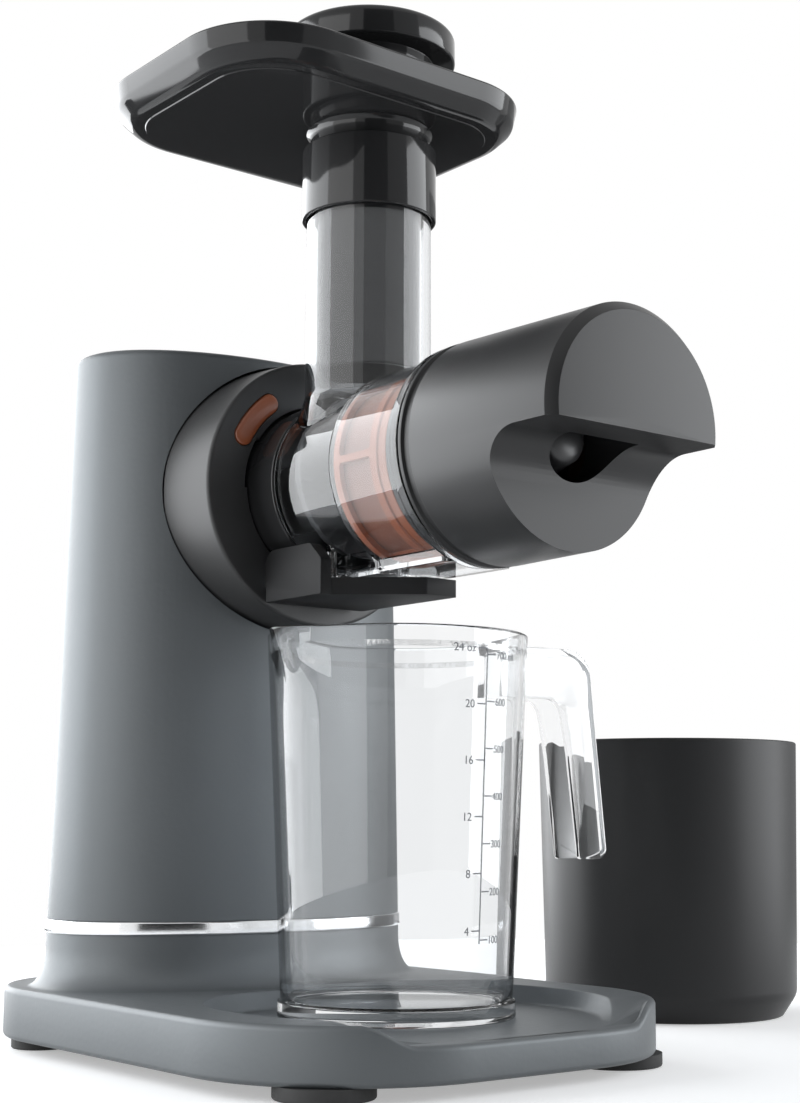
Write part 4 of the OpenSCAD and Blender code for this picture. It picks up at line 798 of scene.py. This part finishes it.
# The end cap with its visor over the pulp outlet
def end_cap():
    start, rim_r, groove = CHAMBER_END + 0.3, 38.6, 1.1
    seat_r, seat, outlet_r, outlet_end = 35.9, 73.9, 15.5, 123
    profile = rounded([(0, start, 0), (rim_r - 0.7, start, 0), (rim_r, start + 0.7, 0.3),
                       (rim_r, 68.4, 0.3), (rim_r - groove, 68.9, 0.1), (rim_r - groove, 72, 0.1),
                       (rim_r, 72.5, 0.3), (37.3, CAP_END - 3, 0.25), (34.3, CAP_END, 0.25),
                       (0, CAP_END, 0)], closed=False, steps=3)
    inside = spun(rounded([(0, start - 1, 0), (seat_r, start - 1, 0), (seat_r, seat, 0), (31, seat, 0),
                           (outlet_r, 98, 4), (outlet_r, outlet_end, 0), (0, outlet_end, 0)],
                          closed=False), closed=False)
    under, low = AXIS_Z - 3.6, AXIS_Z - 45
    visor = prism(rounded([(CAP_STEP, low, 0), (CAP_STEP, under, 14), (CAP_END + 5, under, 0),
                           (CAP_END + 5, low, 0)], steps=14), along_y, -45, 45)
    sleeve = spun([(31.2, 54.6), (32.4, 54.6), (32.4, 74.5), (31.2, 74.5)], steps=192)
    shell = joined(cut(spun(profile, closed=False, steps=192), visor, inside), sleeve)
    piece("pulp_cap", shell, looks["cap_black"], "end_cap", "end_cap", sharp=25)


# The hopper tray on its collar, and the pusher
def hopper_tray():
    low, high, wall = TRAY_LOW, TRAY_HIGH, 2.4
    path = rounded([(26, low, 0), (12.5, low, 0), (12.2, low + 0.35, 0), (7.0, low + 0.35, 5),
                    (1.7, 343.6, 4), (0, high, 0.9), (wall, high, 0.9), (4.2, 345.4, 4),
                    (10, low + wall, 5), (26, low + wall, 0)], closed=False)

    def ring(inset, z, steps=24):
        out = []
        for cx, cy, a in ((8.4, 18.2, 0), (-33.5, 18.2, 90), (-33.5, -49.3, 180), (8.4, -49.3, 270)):
            for i in range(steps + 1):
                t = radians(a + 90 * i / steps)
                out.append((cx + (36.6 - inset) * cos(t), cy + (36.6 - inset) * sin(t), z))
        return out

    tray = skinned([ring(inset, z) for inset, z in path])
    collar = spun(rounded([(23.6, 304.5, 0.2), (25.1, 304.5, 0.5), (25.1, 331.5, 0.6),
                           (21.9, 331.5, 0.3), (21.9, 339, 5.5), (30, 339, 0), (30, 340, 0),
                           (19, 340, 0), (19, 328.3, 0), (23.6, 328.3, 0)]), about_upright(0))
    hole = spun([(0, 300), (20, 300), (20, 360), (0, 360)], about_upright(0), closed=False)
    piece("tray_and_collar", cut(joined(tray, collar), hole), looks["black_gloss"], "hopper", "hopper_tray",
          sharp=30)


def pusher():
    top, cap_r, neck_r, stem_r, stem_in = PUSHER_TOP, 32.3, 24, 19.2, 17.2
    under_cap, shoulder, tip = top - 11.1, 341.3, 246
    profile = rounded([(0, top - 1, 0), (25, top - 1, 2), (26.5, top, 0.5), (cap_r, top, 2.5),
                       (cap_r, under_cap, 1.2), (neck_r, under_cap, 0.4), (neck_r, shoulder, 0.5),
                       (stem_r, shoulder, 0.5), (stem_r, tip, 1), (stem_in, tip, 0.3),
                       (stem_in, top - 13, 0), (0, top - 13, 0)], closed=False)
    piece("pusher_body", spun(profile, about_upright(0), closed=False), looks["black_gloss"], "pusher",
          "pusher", sharp=40)


# The jug with its lip, foot, channel handle and scale
def jug_wall_r(z):
    return JUG_R_LOW + (JUG_R - JUG_R_LOW) * (z - JUG_BOTTOM) / (JUG_TOP - JUG_BOTTOM)


def jug_place(r, t, z):
    """A point of the jug, pushed out where the pouring lip is."""
    side = degrees((t + pi / 2 + pi) % (2 * pi) - pi)
    rise = min(max((z - 118) / (JUG_TOP - 118), 0), 1)
    r += 7.0 * exp(-(side / 13) ** 2) * rise ** 2 if r > 30 else 0
    return (JUG_X + r * cos(t), r * sin(t), z)


def juice_jug():
    wall_steps = [JUG_BOTTOM + (JUG_TOP - JUG_BOTTOM) * k / 24 for k in range(1, 24)]
    outer = rounded([(0, 18.3, 0), (34.5, 18.3, 0.6), (36, JUG_BOTTOM, 0.5), (41, JUG_BOTTOM, 0.8),
                     (41, 22.4, 0.8), (jug_wall_r(23), 23, 0.2), (jug_wall_r(26), 26, 0)],
                    closed=False)
    outer += [(jug_wall_r(z), z) for z in wall_steps if z > 27]
    outer += rounded([(jug_wall_r(140), 140, 0), (JUG_R, JUG_TOP, 0.8), (0, JUG_TOP, 0)], closed=False)
    inner = rounded([(0, 21.2, 0), (JUG_R_LOW - JUG_WALL, 21.2, 2.5), (jug_wall_r(30) - JUG_WALL, 30, 0)],
                    closed=False)
    inner += [(jug_wall_r(z) - JUG_WALL, z) for z in wall_steps if z > 31]
    inner += [(JUG_R - JUG_WALL, JUG_TOP - 0.8), (JUG_R - JUG_WALL + 0.7, JUG_TOP + 0.1),
              (JUG_R - JUG_WALL + 0.7, JUG_TOP + 2), (0, JUG_TOP + 2)]
    half, side, web, end = 7.0, 1.9, 2.4, 69.0
    back = [(41.6, JUG_TOP - 0.3, 0), (87, JUG_TOP - 0.3, 21), (89.2, 126, 40), (95.6, end, 4),
            (81.4, end, 1.5), (76, 108, 60), (71.7, 128, 7), (41.6, 128, 0)]
    channel = [(48, JUG_TOP - 0.3 - web, 2), (85.4, JUG_TOP - 0.3 - web, 18.6), (86.8, 126, 38),
               (94.2, end - 9, 0), (60, end - 9, 0), (60, 120, 0), (48, 120, 0)]
    grip = prism(rounded(back, steps=14), along_x, JUG_X - half, JUG_X + half)
    hollow = prism(rounded(channel, steps=14), along_x, JUG_X - half + side, JUG_X + half - side)
    handle = eased(cut(grip, hollow), 0.7, 2, 50)
    body = joined(spun(outer, jug_place, closed=False, steps=JUG_STEPS), handle)
    shell = cut(body, spun(inner, jug_place, closed=False, steps=JUG_STEPS))
    piece("clear_jug", shell, looks["clear_jug"], "jug", "juice_jug", sharp=28)


def on_jug(u, v, w, angle, z):
    """A point of a flat mark, u across, v up and w out, laid on the jug's wall."""
    r = jug_wall_r(z + v) + w
    t = radians(angle) + u / r
    return (JUG_X + r * cos(t), r * sin(t), z + v)


def jug_scale():
    """The measuring scale: an upright line, strokes and numbers in two units."""
    marks = bmesh.new()

    def stroke(angle, z, width, height):
        rows = [[marks.verts.new(metres(on_jug(u, v, w, angle, z))) for u, v in
                 ((0, 0), (width, 0), (width, height), (0, height))] for w in (0.03, 0.15)]
        marks.faces.new(rows[0][::-1])
        marks.faces.new(rows[1])
        for i in range(4):
            marks.faces.new((rows[0][i], rows[0][(i + 1) % 4], rows[1][(i + 1) % 4], rows[1][i]))

    def words(text, angle, z, size, align):
        curve = bpy.data.curves.new("work", "FONT")
        curve.body, curve.size, curve.extrude = text, size, 0.05
        curve.align_x, curve.align_y = align, "CENTER"
        obj = bpy.data.objects.new("work", curve)
        bpy.context.scene.collection.objects.link(obj)
        mesh = bpy.data.meshes.new_from_object(obj.evaluated_get(bpy.context.evaluated_depsgraph_get()))
        places = [on_jug(v.co.x, v.co.y, v.co.z + 0.1, angle, z) for v in mesh.vertices]
        made = [marks.verts.new(metres(p)) for p in places]
        for face in mesh.polygons:
            marks.faces.new([made[i] for i in face.vertices])
        bpy.data.meshes.remove(mesh)
        bpy.data.curves.remove(curve)

    line_angle, low, high = 2.7, 43.0, 140.0
    pieces = 24
    for k in range(pieces):
        stroke(line_angle, low + (high - low) * k / pieces, 0.45, (high - low) / pieces)
    for ounces in range(4, 25, 4):
        z = mix(47, 140, (ounces - 4) / 20) if ounces > 4 else 47
        stroke(line_angle - 4.5, z, 3.4, 0.45)
        words(f"{ounces}" + (" oz" if ounces == 24 else ""), line_angle - 6, z, 3.9, "RIGHT")
    for litres in range(1, 8):
        z = mix(44, 138, (litres - 1) / 6)
        stroke(line_angle + 1, z, 3.4, 0.45)
        words(f"{100 * litres}" + (" ml" if litres == 7 else ""), line_angle + 6, z, 3.6, "LEFT")
    obj = piece("jug_scale", marks, looks["print"], "jug", sharp=40)


# The pulp container
def pulp_container():
    profile = rounded([(0, 2.6, 0), (44.5, 2.6, 1), (45.5, 0, 0.8), (48.5, 0, 1.5), (54.7, 9.5, 9),
                       (57.1, 117.9, 0.9), (54.9, 117.9, 0.9), (52.5, 9.6, 7), (44, 4.8, 2),
                       (0, 4.8, 0)], closed=False)
    body = spun(profile, about_upright(CONTAINER_X, CONTAINER_Y), closed=False)
    piece("container_body", body, looks["container_black"], "container", "pulp_container", sharp=40)


# Every other CAD part keeps its own mesh and takes the finish of its slot
for name, obj in nodes.items():
    obj.data.materials.clear()
    obj.data.materials.append(slot_looks[slot_of[name]])

tower_shell()
chrome_band()
top_panel()
push_button("start_button", -22)
push_button("reverse_button", 22)
base_housing()
feet()
drum_housing()
release_button()
bayonet_ring()
juicing_chamber()
filter_frame()
filter_screen()
auger()
drip_stop()
end_cap()
hopper_tray()
pusher()
juice_jug()
jug_scale()
pulp_container()


# The camera, the floor and the studio
def place_camera():
    """The camera fitted to the photograph, which stands where the picture was taken from."""
    az, pitch, roll = radians(51.40), radians(8.39), radians(0.16)
    forward = Vector((-sin(az) * cos(pitch), cos(az) * cos(pitch), sin(pitch)))
    right = Vector((cos(az), sin(az), 0))
    up = right.cross(forward)
    right, up = right * cos(roll) + up * sin(roll), up * cos(roll) - right * sin(roll)
    data = bpy.data.cameras.new("camera")
    data.lens, data.sensor_width = 58.46, 36
    data.shift_x, data.shift_y = -0.0083, 0.0059
    data.clip_start = 0.01
    cam = bpy.data.objects.new("camera", data)
    bpy.context.scene.collection.objects.link(cam)
    turn = Matrix((right, up, -forward)).transposed().to_4x4()
    cam.matrix_world = Matrix.Translation(metres((514.45, -390.93, 82.54))) @ turn
    bpy.context.scene.camera = cam


def staged(name, bm, mat):
    obj = as_object(bm)
    obj.name = obj.data.name = name
    obj.data.materials.append(mat)
    return obj


def floor():
    """A pale round floor that takes the object's shadow and is seen white, in gloss and glass too."""
    mat, tree, bsdf = material("pale floor")
    bsdf.inputs["Base Color"].default_value = (0.8, 0.8, 0.8, 1)
    bsdf.inputs["Roughness"].default_value = 0.9
    bsdf.inputs["Specular IOR Level"].default_value = 0.0
    glow = tree.nodes.new("ShaderNodeEmission")
    glow.inputs["Strength"].default_value = 0.4
    add = tree.nodes.new("ShaderNodeAddShader")
    pick = tree.nodes.new("ShaderNodeMixShader")
    out = next(n for n in tree.nodes if n.type == "OUTPUT_MATERIAL")
    link = tree.links.new
    link(bsdf.outputs[0], add.inputs[0])
    link(glow.outputs[0], add.inputs[1])
    link(seen_straight(tree), pick.inputs[0])
    link(bsdf.outputs[0], pick.inputs[1])
    link(add.outputs[0], pick.inputs[2])
    link(pick.outputs[0], out.inputs[0])
    top, low = -0.2, -2
    disc = spun([(0, top), (FLOOR_R, top), (FLOOR_R, low), (0, low)], about_upright(20, 90), closed=False)
    staged("floor", disc, mat)


def seen_straight(tree):
    """One for rays from the camera, off gloss and through glass, unless they carry soft light."""
    path = tree.nodes.new("ShaderNodeLightPath")
    most = math_node(tree, "MAXIMUM", path.outputs["Is Camera Ray"], path.outputs["Is Transmission Ray"])
    most = math_node(tree, "MAXIMUM", most, path.outputs["Is Glossy Ray"])
    direct = math_node(tree, "SUBTRACT", 1.0, path.outputs["Diffuse Depth"], clamp=True)
    return math_node(tree, "MULTIPLY", most, direct)


def studio_world():
    world = bpy.data.worlds.new("studio")
    bpy.context.scene.world = world
    world.use_nodes = True
    tree = world.node_tree
    tree.nodes.clear()
    out = tree.nodes.new("ShaderNodeOutputWorld")
    seen, lit = (tree.nodes.new("ShaderNodeBackground") for _ in range(2))
    pick = tree.nodes.new("ShaderNodeMixShader")
    seen.inputs["Color"].default_value = (1, 1, 1, 1)
    lit.inputs["Color"].default_value = (0.93, 0.96, 1.0, 1)
    lit.inputs["Strength"].default_value = 0.30
    tree.links.new(seen_straight(tree), pick.inputs[0])
    tree.links.new(lit.outputs[0], pick.inputs[1])
    tree.links.new(seen.outputs[0], pick.inputs[2])
    tree.links.new(pick.outputs[0], out.inputs[0])


def softbox(name, azimuth, elevation, distance, width, height, radiance):
    """A lamp that faces the middle of the object, placed by its direction in degrees."""
    data = bpy.data.lights.new(name, "AREA")
    data.shape = "RECTANGLE"
    data.size, data.size_y = width, height
    data.energy = radiance * pi * width * height
    data.color = (0.95, 0.975, 1.0)
    lamp = bpy.data.objects.new(name, data)
    a, e = radians(azimuth), radians(elevation)
    aim = metres((0, 0, LAMP_AIM))
    lamp.location = aim + distance * Vector((cos(a) * cos(e), sin(a) * cos(e), sin(e)))
    lamp.rotation_euler = (aim - lamp.location).to_track_quat("-Z", "Y").to_euler()
    lamp.visible_camera = False
    lamp.visible_transmission = False
    bpy.context.scene.collection.objects.link(lamp)


def card(name, start, end, low, high, colour, glow):
    """A curved studio wall between two directions, seen only in gloss."""
    mat, tree, bsdf = material(name)
    bsdf.inputs["Base Color"].default_value = (*colour, 1)
    bsdf.inputs["Roughness"].default_value = 1.0
    bsdf.inputs["Specular IOR Level"].default_value = 0.0
    bsdf.inputs["Emission Color"].default_value = (1, 1, 1, 1)
    bsdf.inputs["Emission Strength"].default_value = glow
    steps = 12
    turns = [radians(start + (end - start) * k / steps) for k in range(steps + 1)]
    arc = [(STUDIO_R * cos(t), STUDIO_R * sin(t)) for t in turns]
    outline = arc + [(u * 1.01, v * 1.01) for u, v in arc[::-1]]
    wall = staged(name, prism(outline, along_z, low, high), mat)
    wall.visible_camera = wall.visible_transmission = wall.visible_diffuse = wall.visible_shadow = False


place_camera()
floor()
studio_world()
softbox("left softbox", -151, 3, 1.35, 2.7, 1.75, 5.6)
softbox("right softbox", 51, 8, 1.5, 1.3, 1.25, 4.8)
card("left glow card", -110, -64, -300, 1000, (0.1, 0.1, 0.1), 2.9)
card("dark card", -46, -6, -300, 1100, (0.02, 0.02, 0.02), 0.0)
card("grey card", -6, 30, -300, 1100, (0.1, 0.1, 0.1), 0.35)
card("rear grey card", 87, 130, -300, 700, (0.1, 0.1, 0.1), 0.3)
card("low rear card", 96, 205, -620, -20, (0.02, 0.02, 0.02), 0.0)
bpy.context.scene.view_settings.view_transform = "Standard"
